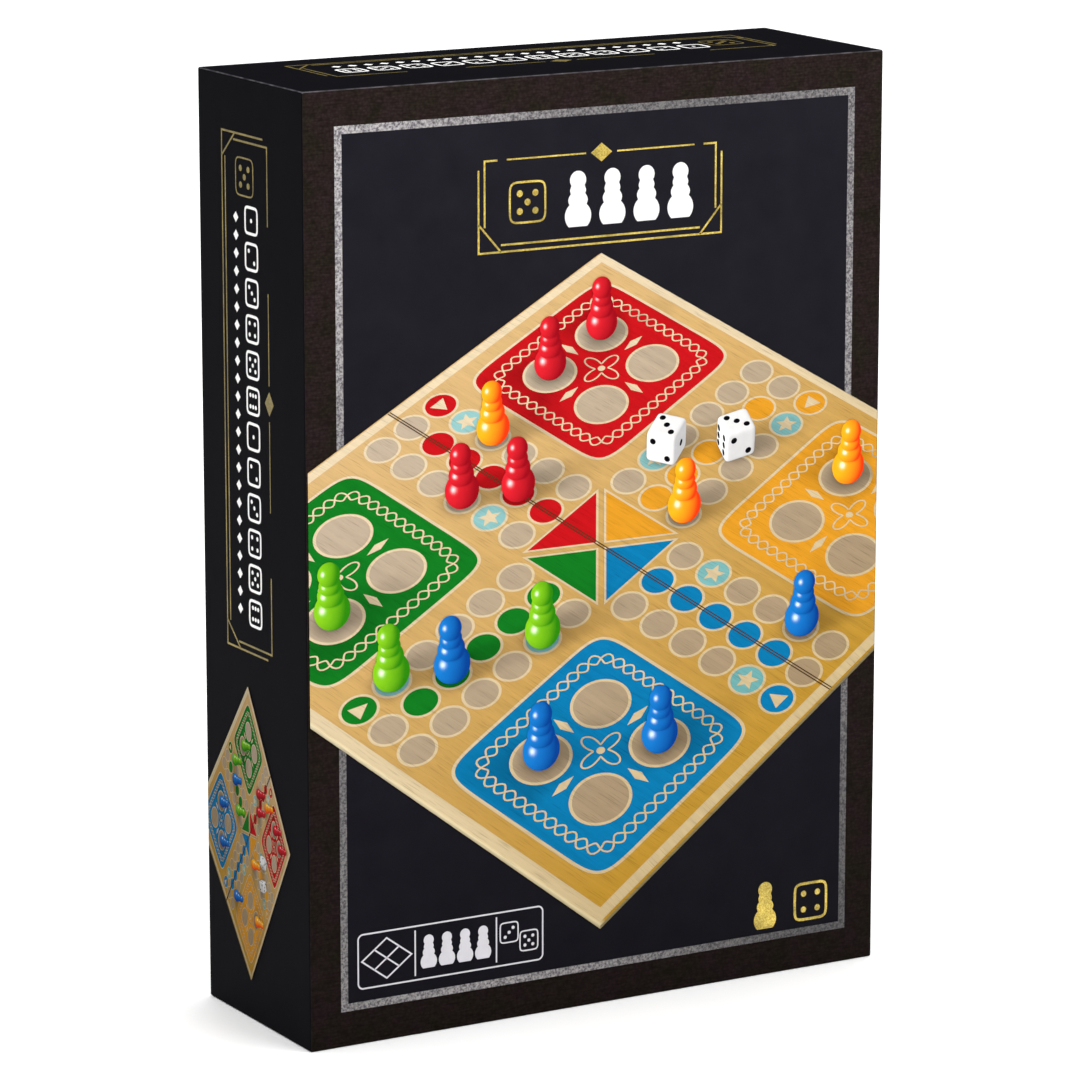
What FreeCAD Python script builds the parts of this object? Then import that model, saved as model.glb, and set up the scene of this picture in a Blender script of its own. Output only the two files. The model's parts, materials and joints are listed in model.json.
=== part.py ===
"""Ludo game in a rigid lid-over-base box, with its tray, folding board, pawns and dice.

Frame: X across the front, Y into the box (the front panel faces -Y), Z up, millimetres.
The origin is the middle of the face that the box stands on. The box is sized from its
contents outwards: board, pawns and dice give the tray, the tray gives the base, and the
base gives the lid.
"""
import FreeCAD
import Part
import Sketcher
import os

from FreeCAD import Rotation, Vector

# Driving dimensions, in millimetres.
SIZES = {
    # Folding board: side of the open square, one half's thickness, gap between folded halves.
    "board_side": 250,
    "board_thick": 7,
    "fold_gap": 0.6,
    "board_bevel": 0.5,
    # Butt hinges of the board.
    "hinge_length": 24,
    "hinge_inset": 40,
    "leaf_width": 9,
    "leaf_thick": 0.8,
    "barrel_radius": 1.5,
    "hinge_pin_radius": 0.75,
    "hinge_pin_clear": 0.04,
    "knuckle_gap": 0.2,
    "hinge_clear": 0.25,
    # Countersunk hinge screws, and the wood left under their points.
    "screw_reach": 5.6,
    "screw_spacing": 12,
    "screw_head_radius": 1.5,
    "screw_shank_radius": 0.8,
    "screw_cover": 2,
    "screw_slot": 0.4,
    "screw_clear": 0.05,
    # Turned pawn: four stacked beads, each with its widest radius, its curve and its rise.
    "body_radius": 6.75,
    "body_curve": 6.6,
    "body_rise": 4.8,
    "collar_radius": 5,
    "collar_curve": 3.2,
    "collar_rise": 7.1,
    "neck_radius": 4.1,
    "neck_curve": 2.6,
    "neck_rise": 4.3,
    "head_radius": 4.15,
    "head_rise": 4.65,
    # Dice.
    "die_edge": 12,
    "die_round": 1.2,
    "pip_radius": 1.3,
    "pip_depth": 0.45,
    "pip_spacing": 3,
    # Rules: one sheet folded in three.
    "leaflet_width": 110,
    "leaflet_height": 170,
    "leaflet_ply": 0.15,
    "leaflet_fold": 0.12,
    # Thermoformed tray and the card riser under it.
    "tray_wall": 0.7,
    "tray_rib": 2.4,
    "riser_height": 42.1,
    "riser_wall": 1.5,
    # Greyboard shells, their paper wrap and the strip of wrap turned in over the rim.
    "greyboard": 1.6,
    "wrap_thick": 0.2,
    "turn_in": 15,
    "fold_radius": 0.4,
    # Clearances.
    "seat_clear": 0.3,
    "part_clear": 0.4,
    "board_clear": 0.8,
    "board_end_clear": 1.3,
    "panel_clear": 0.6,
    "land_clear": 4,
    "tray_clear": 0.3,
    "lid_clear": 0.4,
    "rim_clear": 0.3,
    "lid_short": 1,
}

# Counts: troughs, pawns in each trough and dice.
PAWN_COLOURS = ["red", "green", "yellow", "blue"]
PAWNS_EACH = 4
DICE = 2

# Sizes and places that follow from the driving dimensions.
LAYOUT = {
    "half_width": "Sizes.board_side / 2 - Sizes.fold_gap / 2",
    "half_gap": "Sizes.fold_gap / 2",
    "hinge_height": "Sizes.board_side / 2 - Sizes.hinge_inset",
    "screw_length": "Sizes.board_thick - Sizes.screw_cover",
    "stack_depth": "2 * Sizes.board_thick + Sizes.fold_gap",
    "collar_height": "Sizes.body_rise + Sizes.collar_rise",
    "neck_height": "collar_height + Sizes.neck_rise",
    "head_height": "neck_height + Sizes.head_rise",
    "pawn_height": "head_height + Sizes.head_radius",
    "pawn_pitch": "2 * Sizes.body_radius + Sizes.seat_clear",
    "die_pitch": "Sizes.die_edge + Sizes.seat_clear",
    "pip_reach": "Sizes.die_edge / 2 + Sizes.pip_radius - Sizes.pip_depth",
    "leaflet_thick": "3 * Sizes.leaflet_ply + 2 * Sizes.leaflet_fold",
    "leaflet_bend": "Sizes.leaflet_ply + Sizes.leaflet_fold / 2",
    # Tray, from the inside out.
    "axis_room": "Sizes.barrel_radius + Sizes.part_clear",
    "bay_width": "axis_room + half_gap + half_width + Sizes.board_clear",
    "trough_need": f"{PAWNS_EACH} * pawn_pitch + Sizes.seat_clear",
    "troughs_need": f"{len(PAWN_COLOURS)} * (trough_need + Sizes.tray_rib) - Sizes.tray_rib",
    "bay_height": "max(Sizes.board_side + 2 * Sizes.board_end_clear; troughs_need)",
    "trough_pitch": f"(bay_height + Sizes.tray_rib) / {len(PAWN_COLOURS)}",
    "trough_height": "trough_pitch - Sizes.tray_rib",
    "trough_width": "pawn_height + 2 * Sizes.part_clear",
    "dice_width": "Sizes.die_edge + 2 * Sizes.part_clear",
    "trough_left": "2 * Sizes.tray_rib + bay_width",
    "dice_left": "trough_left + trough_width + Sizes.tray_rib",
    "tray_width": "dice_left + dice_width + Sizes.tray_rib",
    "tray_height": "bay_height + 2 * Sizes.tray_rib",
    "board_room": "leaflet_thick + 2 * Sizes.seat_clear + stack_depth",
    "pawn_room": "2 * Sizes.body_radius + 2 * Sizes.seat_clear",
    "die_room": "Sizes.die_edge + 2 * Sizes.seat_clear",
    "contents_depth": "max(board_room; pawn_room; die_room) + Sizes.panel_clear",
    "pocket_depth": "contents_depth - Sizes.land_clear",
    "tray_depth": "pocket_depth + Sizes.tray_wall",
    # Base and lid, from the tray outwards.
    "panel": "Sizes.wrap_thick + Sizes.greyboard",
    "wall": "panel + Sizes.wrap_thick",
    "base_width": "tray_width + 2 * (Sizes.tray_clear + wall)",
    "base_height": "tray_height + 2 * (Sizes.tray_clear + wall)",
    "lid_width": "base_width + 2 * (Sizes.lid_clear + wall)",
    "lid_height": "base_height + 2 * (Sizes.lid_clear + wall)",
    "box_depth": "2 * panel + contents_depth + Sizes.tray_wall + Sizes.riser_height",
    "base_depth": "box_depth - panel - Sizes.rim_clear",
    "lid_depth": "box_depth - Sizes.lid_short",
    # Places in the frame of the part.
    "back": "box_depth / 2",
    "lid_rim": "back - Sizes.lid_short",
    "floor": "back - panel",
    "riser_top": "floor - Sizes.riser_height",
    "platform": "riser_top - Sizes.tray_wall",
    "leaflet_back": "platform - Sizes.seat_clear",
    "board_back": "leaflet_back - leaflet_thick - Sizes.seat_clear",
    "axis_depth": "board_back - Sizes.board_thick - half_gap",
    "middle": "lid_height / 2",
    "tray_left": "-tray_width / 2",
    "tray_bottom": "middle - tray_height / 2",
    "bay_left": "tray_left + Sizes.tray_rib",
    "bay_bottom": "tray_bottom + Sizes.tray_rib",
    "axis_x": "bay_left + axis_room",
    "board_middle": "bay_bottom + Sizes.seat_clear + Sizes.board_side / 2",
    "leaflet_left": "bay_left + (bay_width - Sizes.leaflet_width) / 2",
    "pawn_left": "tray_left + trough_left + Sizes.part_clear",
    "pawn_depth": "platform - Sizes.seat_clear - Sizes.body_radius",
    "die_middle": "tray_left + dice_left + dice_width / 2",
    "die_depth": "platform - Sizes.seat_clear - Sizes.die_edge / 2",
}

# Faces of a die: the count, the outward direction and one direction along the face.
DIE_FACES = [
    (1, Vector(0, -1, 0), Vector(1, 0, 0)),
    (6, Vector(0, 1, 0), Vector(1, 0, 0)),
    (2, Vector(-1, 0, 0), Vector(0, 0, 1)),
    (5, Vector(1, 0, 0), Vector(0, 0, 1)),
    (3, Vector(0, 0, 1), Vector(1, 0, 0)),
    (4, Vector(0, 0, -1), Vector(1, 0, 0)),
]
PIPS = {
    1: [(0, 0)],
    2: [(-1, -1), (1, 1)],
    3: [(-1, -1), (0, 0), (1, 1)],
    4: [(-1, -1), (-1, 1), (1, -1), (1, 1)],
    5: [(-1, -1), (-1, 1), (0, 0), (1, -1), (1, 1)],
    6: [(-1, -1), (-1, 0), (-1, 1), (1, -1), (1, 0), (1, 1)],
}

# Two places count as the same within this distance.
TOLERANCE = 1e-6

# Quarter turns that point a primitive's own Z axis along Y.
TO_BACK = Rotation(Vector(1, 0, 0), -90)
TO_FRONT = Rotation(Vector(1, 0, 0), 90)

doc = FreeCAD.newDocument("ludo_game_box")
nodes = []


def add_sheet(name, cells):
    """Spreadsheet with one aliased row for each cell."""
    sheet = doc.addObject("Spreadsheet::Sheet", name)
    for row, (alias, content) in enumerate(cells.items(), start=1):
        sheet.set(f"A{row}", alias)
        sheet.set(f"B{row}", content)
        sheet.setAlias(f"B{row}", alias)
    doc.recompute()
    return sheet


add_sheet("Sizes", {name: str(size) for name, size in SIZES.items()})
layout = add_sheet("Layout", {name: f"={formula}" for name, formula in LAYOUT.items()})


def value(expression):
    """Present value of an expression."""
    return float(layout.evalExpression(expression))


def bind(item, expressions):
    """Bind properties of an object to expressions on the sheets."""
    for name, expression in expressions.items():
        item.setExpression(name, expression)
    return item


def place(item, x="0", y="0", z="0"):
    """Bind where an object stands in the frame of the part."""
    return bind(item, {"Placement.Base.x": x, "Placement.Base.y": y, "Placement.Base.z": z})


def keep(item, label):
    """Give a finished sub-part its name and hand it in as a node."""
    item.Label = label
    nodes.append(item)
    return item


# Helpers for bodies made from sketches.

def new_body(name):
    return doc.addObject("PartDesign::Body", name)


def new_sketch(body, name, role="XZ_Plane", out="0"):
    """Sketch on one of the body's origin planes, moved out along the plane's normal."""
    sketch = body.newObject("Sketcher::SketchObject", name)
    plane = next(item for item in body.Origin.OriginFeatures if item.Role == role)
    sketch.AttachmentSupport = (plane, [""])
    sketch.MapMode = "FlatFace"
    sketch.setExpression("AttachmentOffset.Base.z", out)
    return sketch


def add_datum(sketch, name, kind, ends, expression):
    """Driving dimension of a sketch, bound to an expression."""
    index = sketch.addConstraint(Sketcher.Constraint(kind, *ends, value(expression)))
    sketch.renameConstraint(index, name)
    sketch.setExpression(f"Constraints.{name}", expression)


def add_rectangle(sketch, name, left, bottom, width, height):
    """Rectangle given by its lower left corner and its two sides."""
    x_low = value(left)
    y_low = value(bottom)
    x_high = x_low + value(width)
    y_high = y_low + value(height)
    corners = [
        Vector(x_low, y_low), Vector(x_high, y_low), Vector(x_high, y_high), Vector(x_low, y_high),
    ]
    first = sketch.GeometryCount
    for start, end in zip(corners, corners[1:] + corners[:1]):
        sketch.addGeometry(Part.LineSegment(start, end), False)
    for side in range(4):
        sketch.addConstraint(Sketcher.Constraint("Coincident", first + side, 2, first + (side + 1) % 4, 1))
        direction = "Vertical" if side % 2 else "Horizontal"
        sketch.addConstraint(Sketcher.Constraint(direction, first + side))
    add_datum(sketch, f"{name}_left", "DistanceX", (-1, 1, first, 1), left)
    add_datum(sketch, f"{name}_bottom", "DistanceY", (-1, 1, first, 1), bottom)
    add_datum(sketch, f"{name}_width", "DistanceX", (first, 1, first, 2), width)
    add_datum(sketch, f"{name}_height", "DistanceY", (first + 1, 1, first + 1, 2), height)


def add_circle(sketch, name, x, y, radius):
    """Circle given by its centre and radius."""
    circle = Part.Circle(Vector(value(x), value(y)), Vector(0, 0, 1), value(radius))
    index = sketch.addGeometry(circle, False)
    add_datum(sketch, f"{name}_x", "DistanceX", (-1, 1, index, 3), x)
    add_datum(sketch, f"{name}_y", "DistanceY", (-1, 1, index, 3), y)
    add_datum(sketch, f"{name}_radius", "Radius", (index,), radius)


def add_pad(body, sketch, name, length):
    feature = body.newObject("PartDesign::Pad", name)
    feature.Profile = sketch
    feature.setExpression("Length", length)
    doc.recompute()
    return feature


def add_pocket(body, sketch, name, length, ahead=False):
    """Pocket against the sketch's normal, or ahead along it. It has to take material away."""
    before = body.Shape.Volume
    feature = body.newObject("PartDesign::Pocket", name)
    feature.Profile = sketch
    feature.Reversed = ahead
    feature.setExpression("Length", length)
    doc.recompute()
    if body.Shape.Volume >= before:
        raise RuntimeError(f"{body.Name}: {name} cuts nothing")
    return feature


# Helpers for pieces made from primitives.

def add_box(name, length, width, height):
    return bind(doc.addObject("Part::Box", name), {"Length": length, "Width": width, "Height": height})


def add_cylinder(name, radius, height):
    return bind(doc.addObject("Part::Cylinder", name), {"Radius": radius, "Height": height})


def add_fuse(name, shapes):
    fuse = doc.addObject("Part::MultiFuse", name)
    fuse.Shapes = shapes
    fuse.Refine = True
    return fuse


def add_cut(name, base, tool):
    cut = doc.addObject("Part::Cut", name)
    cut.Base = base
    cut.Tool = tool
    cut.Refine = True
    return cut


# Lid and base: a greyboard shell, and the paper wrapped over it.

def open_shell(name, width, height, depth, wall, panel, radius, opens_front):
    """Five-sided shell whose outside starts at its own origin and runs to -Y."""
    body = new_body(name)
    outline = new_sketch(body, f"{name}_outline")
    add_rectangle(outline, "outside", "0", "0", width, height)
    block = add_pad(body, outline, f"{name}_block", depth)

    # The folds run along the panel's outer edges and the four corners, not along the open rim.
    rim_y = -block.Shape.BoundBox.YLength if opens_front else 0
    folds = [
        f"Edge{index}"
        for index, edge in enumerate(block.Shape.Edges, start=1)
        if any(abs(vertex.Y - rim_y) > TOLERANCE for vertex in edge.Vertexes)
    ]
    rounding = body.newObject("PartDesign::Fillet", f"{name}_folds")
    rounding.Base = (block, folds)
    rounding.setExpression("Radius", radius)
    doc.recompute()

    inside = new_sketch(body, f"{name}_inside", out=depth if opens_front else "0")
    add_rectangle(inside, "inside", wall, wall, f"{width} - 2 * ({wall})", f"{height} - 2 * ({wall})")
    add_pocket(body, inside, f"{name}_hollow", f"{depth} - ({panel})", ahead=not opens_front)
    return body


def covered_shell(name, width, height, depth, outside, opens_front):
    """Greyboard shell with its wrap: the wrap skins it, caps its rim and turns in over it."""
    left = f"-{width} / 2"
    bottom = f"Layout.middle - {height} / 2"

    board = open_shell(
        f"{name}_board", f"({width} - 2 * Sizes.wrap_thick)", f"({height} - 2 * Sizes.wrap_thick)",
        f"({depth} - 2 * Sizes.wrap_thick)", "Sizes.greyboard", "Sizes.greyboard", "Sizes.fold_radius",
        opens_front,
    )
    place(
        board, f"{left} + Sizes.wrap_thick", f"{outside} - Sizes.wrap_thick",
        f"{bottom} + Sizes.wrap_thick",
    )
    keep(board, f"{name}_board")

    blank = open_shell(
        f"{name}_blank", width, height, depth, "Layout.wall", "Layout.panel",
        "Sizes.fold_radius + Sizes.wrap_thick", opens_front,
    )
    place(blank, left, outside, bottom)

    # Inside, beyond the turned-in strip, the greyboard is bare.
    bare_depth = f"{depth} - Layout.panel - Sizes.turn_in - Sizes.wrap_thick"
    bare = add_box(
        f"{name}_bare", f"{width} - 2 * Layout.panel", bare_depth, f"{height} - 2 * Layout.panel",
    )
    near_panel = f"{outside} - Layout.panel - ({bare_depth})"
    from_panel = f"{outside} - {depth} + Layout.panel"
    place(
        bare, f"{left} + Layout.panel", near_panel if opens_front else from_panel,
        f"{bottom} + Layout.panel",
    )
    skin = add_cut(f"{name}_skin", blank, board)
    keep(add_cut(f"{name}_wrap", skin, bare), f"{name}_wrap")


for shell, outside, opens_front in [("lid", "Layout.lid_rim", False), ("base", "Layout.back", True)]:
    covered_shell(
        shell, f"Layout.{shell}_width", f"Layout.{shell}_height", f"Layout.{shell}_depth", outside,
        opens_front,
    )


# Riser: a card frame with one cross wall, open to the front and to the back.

def make_riser():
    body = new_body("riser")
    outline = new_sketch(body, "riser_outline")
    add_rectangle(outline, "outside", "0", "0", "Layout.tray_width", "Layout.tray_height")
    add_pad(body, outline, "riser_block", "Sizes.riser_height")

    windows = new_sketch(body, "riser_windows")
    window_width = "Layout.tray_width - 2 * Sizes.riser_wall"
    window_height = "(Layout.tray_height - 3 * Sizes.riser_wall) / 2"
    for name, bottom in [
        ("lower", "Sizes.riser_wall"),
        ("upper", f"2 * Sizes.riser_wall + {window_height}"),
    ]:
        add_rectangle(windows, name, "Sizes.riser_wall", bottom, window_width, window_height)
    add_pocket(body, windows, "riser_hollow", "Sizes.riser_height", ahead=True)
    place(body, "Layout.tray_left", "Layout.floor", "Layout.tray_bottom")
    keep(body, "riser")


make_riser()


# Tray: a board bay, one trough for each colour of pawn, and a dice trough, between hollow ribs.

def make_tray():
    body = new_body("tray")
    outline = new_sketch(body, "tray_outline")
    add_rectangle(outline, "outside", "0", "0", "Layout.tray_width", "Layout.tray_height")
    add_pad(body, outline, "tray_block", "Layout.tray_depth")

    bays = {
        "board": ("Sizes.tray_rib", "Sizes.tray_rib", "Layout.bay_width", "Layout.bay_height"),
        "dice": ("Layout.dice_left", "Sizes.tray_rib", "Layout.dice_width", "Layout.bay_height"),
    }
    for row, colour in enumerate(PAWN_COLOURS):
        bottom = f"Sizes.tray_rib + {row} * Layout.trough_pitch"
        bays[colour] = ("Layout.trough_left", bottom, "Layout.trough_width", "Layout.trough_height")

    pockets = new_sketch(body, "tray_pockets", out="Layout.tray_depth")
    hollows = new_sketch(body, "tray_hollows")
    skin = "Sizes.tray_wall"
    add_rectangle(
        hollows, "outside", skin, skin, f"Layout.tray_width - 2 * {skin}",
        f"Layout.tray_height - 2 * {skin}",
    )
    for name, (left, bottom, width, height) in bays.items():
        add_rectangle(pockets, name, left, bottom, width, height)
        add_rectangle(
            hollows, name, f"{left} - {skin}", f"{bottom} - {skin}", f"{width} + 2 * {skin}",
            f"{height} + 2 * {skin}",
        )
    add_pocket(body, pockets, "tray_bays", "Layout.pocket_depth")
    add_pocket(body, hollows, "tray_rib_hollows", "Layout.pocket_depth", ahead=True)
    place(body, "Layout.tray_left", "Layout.riser_top", "Layout.tray_bottom")
    keep(body, "tray")


make_tray()


# Rules leaflet: three plies and the two folds between them.

def make_leaflet():
    pitch = "(Sizes.leaflet_ply + Sizes.leaflet_fold)"
    bottom = "Layout.bay_bottom + Sizes.seat_clear"
    pieces = []
    for ply in range(3):
        sheet = add_box(
            f"leaflet_ply_{ply}", "Sizes.leaflet_width", "Sizes.leaflet_ply", "Sizes.leaflet_height",
        )
        depth = f"Layout.leaflet_back - Sizes.leaflet_ply - {ply} * {pitch}"
        pieces.append(place(sheet, "Layout.leaflet_left", depth, bottom))
    folds = [
        ("right", "Layout.leaflet_left + Sizes.leaflet_width", -90), ("left", "Layout.leaflet_left", 90),
    ]
    for ply, (side, x, turn) in enumerate(folds):
        depth = f"Layout.leaflet_back - Layout.leaflet_bend - {ply} * {pitch}"
        outer = add_cylinder(f"leaflet_{side}_outer", "Layout.leaflet_bend", "Sizes.leaflet_height")
        outer.Angle = 180
        outer.Placement.Rotation = Rotation(Vector(0, 0, 1), turn)
        inner = add_cylinder(f"leaflet_{side}_inner", "Sizes.leaflet_fold / 2", "Sizes.leaflet_height")
        for cylinder in (outer, inner):
            place(cylinder, x, depth, bottom)
        pieces.append(add_cut(f"leaflet_{side}_fold", outer, inner))
    keep(add_fuse("rules_leaflet", pieces), "rules_leaflet")


make_leaflet()


# Board halves, folded with their printed faces outwards. The hinge axis is the origin of each.

def make_board_half(name, printed, underside, inwards):
    """Half between two depths off the axis, inwards where its wood lies ahead of the underside."""
    body = new_body(name)
    low = "-Sizes.board_side / 2"
    outline = new_sketch(body, f"{name}_outline", out=underside if inwards else printed)
    add_rectangle(outline, "half", "Layout.half_gap", low, "Layout.half_width", "Sizes.board_side")
    slab = add_pad(body, outline, f"{name}_slab", "Sizes.board_thick")

    printed_y = -value(printed)
    printed_face = next(
        f"Face{index}"
        for index, face in enumerate(slab.Shape.Faces, start=1)
        if face.BoundBox.YLength < TOLERANCE and abs(face.BoundBox.YMin - printed_y) < TOLERANCE
    )
    bevel = body.newObject("PartDesign::Chamfer", f"{name}_bevel")
    bevel.Base = (slab, [printed_face])
    bevel.setExpression("Size", "Sizes.board_bevel")
    doc.recompute()

    # Mortise, screw holes and barrel groove of the upper hinge, then of the lower one.
    for end, sign in [("upper", 1), ("lower", -1)]:
        height = f"{sign} * Layout.hinge_height"
        mortise = new_sketch(body, f"{name}_{end}_mortise", out=underside)
        add_rectangle(
            mortise, "mortise", "0", f"{height} - Sizes.hinge_length / 2 - Sizes.hinge_clear",
            "Sizes.leaf_width + Sizes.hinge_clear", "Sizes.hinge_length + 2 * Sizes.hinge_clear",
        )
        add_pocket(
            body, mortise, f"{name}_{end}_mortise_cut", "Sizes.leaf_thick + Sizes.screw_clear",
            ahead=inwards,
        )
        holes = new_sketch(body, f"{name}_{end}_holes", out=underside)
        for row, shift in [("high", 1), ("low", -1)]:
            add_circle(
                holes, row, "Sizes.screw_reach", f"{height} + {shift} * Sizes.screw_spacing / 2",
                "Sizes.screw_shank_radius + Sizes.screw_clear",
            )
        add_pocket(
            body, holes, f"{name}_{end}_screw_holes", "Layout.screw_length + Sizes.screw_clear",
            ahead=inwards,
        )
        groove = new_sketch(
            body, f"{name}_{end}_groove", "XY_Plane",
            f"{height} - Sizes.hinge_length / 2 - Sizes.hinge_clear",
        )
        add_circle(groove, "barrel", "0", "0", "Sizes.barrel_radius + Sizes.hinge_clear")
        add_pocket(
            body, groove, f"{name}_{end}_groove_cut", "Sizes.hinge_length + 2 * Sizes.hinge_clear",
            ahead=True,
        )
    place(body, "Layout.axis_x", "Layout.axis_depth", "Layout.board_middle")
    keep(body, name)


far_face = "Layout.half_gap + Sizes.board_thick"
make_board_half("board_half_front", far_face, "Layout.half_gap", True)
make_board_half("board_half_back", f"-({far_face})", "-Layout.half_gap", False)


# Hinges: two leaves that meet in three knuckles, and a pin. Each is made round its own axis.

def zone_cylinder(name, radius, low, high):
    """Cylinder on the hinge axis between two heights."""
    return place(add_cylinder(name, radius, f"{high} - ({low})"), z=low)


def make_leaf(name, face, turn, own_zones, other_zones, height):
    """Leaf plate let in to one half, with its own knuckles and room for those of the other leaf."""
    plate = add_box(f"{name}_plate", "Sizes.leaf_width", "Sizes.leaf_thick", "Sizes.hinge_length")
    place(plate, "0", face, "-Sizes.hinge_length / 2")
    solids = [plate]
    for index, (low, high) in enumerate(own_zones):
        solids.append(zone_cylinder(f"{name}_knuckle_{index}", "Sizes.barrel_radius", low, high))

    cuts = [
        zone_cylinder(
            f"{name}_bore", "Sizes.hinge_pin_radius + Sizes.hinge_pin_clear", "-Sizes.hinge_length / 2",
            "Sizes.hinge_length / 2",
        )
    ]
    for index, (low, high) in enumerate(other_zones):
        cuts.append(
            zone_cylinder(f"{name}_room_{index}", "Sizes.barrel_radius + Sizes.hinge_clear", low, high)
        )
    for row, shift in [("high", 1), ("low", -1)]:
        sink = bind(doc.addObject("Part::Cone", f"{name}_sink_{row}"), {
            "Radius1": "Sizes.screw_head_radius + Sizes.screw_clear",
            "Radius2": "Sizes.screw_shank_radius + Sizes.screw_clear",
            "Height": "Sizes.leaf_thick",
        })
        sink.Placement.Rotation = turn
        gap_face = "Layout.half_gap" if turn is TO_BACK else "-Layout.half_gap"
        cuts.append(place(sink, "Sizes.screw_reach", gap_face, f"{shift} * Sizes.screw_spacing / 2"))
    leaf = add_cut(name, add_fuse(f"{name}_solids", solids), add_fuse(f"{name}_cuts", cuts))
    place(leaf, "Layout.axis_x", "Layout.axis_depth", height)
    keep(leaf, name)


def make_screw(name, turn, x, y, z):
    """Countersunk screw with a straight slot. Its head is flush with the leaf at its own origin."""
    head = bind(doc.addObject("Part::Cone", f"{name}_head"), {
        "Radius1": "Sizes.screw_head_radius",
        "Radius2": "Sizes.screw_shank_radius",
        "Height": "Sizes.leaf_thick",
    })
    shank = add_cylinder(f"{name}_shank", "Sizes.screw_shank_radius", "Layout.screw_length")
    slot = add_box(f"{name}_slot", "2 * Sizes.screw_head_radius", "Sizes.screw_slot", "Sizes.screw_slot")
    place(slot, "-Sizes.screw_head_radius", "-Sizes.screw_slot / 2", "0")
    screw = add_cut(name, add_fuse(f"{name}_solid", [head, shank]), slot)
    screw.Placement.Rotation = turn
    return place(screw, x, y, z)


def make_hinges():
    inner = "(Sizes.hinge_length / 6 - Sizes.knuckle_gap / 2)"
    outer = "(Sizes.hinge_length / 6 + Sizes.knuckle_gap / 2)"
    end = "(Sizes.hinge_length / 2)"
    back_zones = [(f"-{end}", f"-{outer}"), (outer, end)]
    back_room = [(f"-{outer}", outer)]
    front_zones = [(f"-{inner}", inner)]
    front_room = [(f"-{end}", f"-{inner}"), (inner, end)]
    screws = {"front": [], "back": []}
    for label, sign in [("hinge_upper", 1), ("hinge_lower", -1)]:
        height = f"Layout.board_middle + {sign} * Layout.hinge_height"
        back_face = "Layout.half_gap"
        front_face = "-Layout.half_gap - Sizes.leaf_thick"
        make_leaf(f"{label}_leaf_front", front_face, TO_FRONT, front_zones, front_room, height)
        make_leaf(f"{label}_leaf_back", back_face, TO_BACK, back_zones, back_room, height)
        pin = add_cylinder(f"{label}_pin", "Sizes.hinge_pin_radius", "Sizes.hinge_length")
        place(pin, "Layout.axis_x", "Layout.axis_depth", f"{height} - Sizes.hinge_length / 2")
        keep(pin, f"{label}_pin")
        for side, turn, face in [("front", TO_FRONT, "-"), ("back", TO_BACK, "+")]:
            for row, shift in [("high", 1), ("low", -1)]:
                screws[side].append(make_screw(
                    f"{label}_screw_{side}_{row}", turn, "Layout.axis_x + Sizes.screw_reach",
                    f"Layout.axis_depth {face} Layout.half_gap",
                    f"{height} + {shift} * Sizes.screw_spacing / 2",
                ))
    for side, solids in screws.items():
        group = doc.addObject("Part::Compound", f"hinge_screws_{side}")
        group.Links = solids
        keep(group, f"hinge_screws_{side}")


make_hinges()


# Pawns: four beads turned about one axis. Each lies on its side, with its head to the right.

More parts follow.
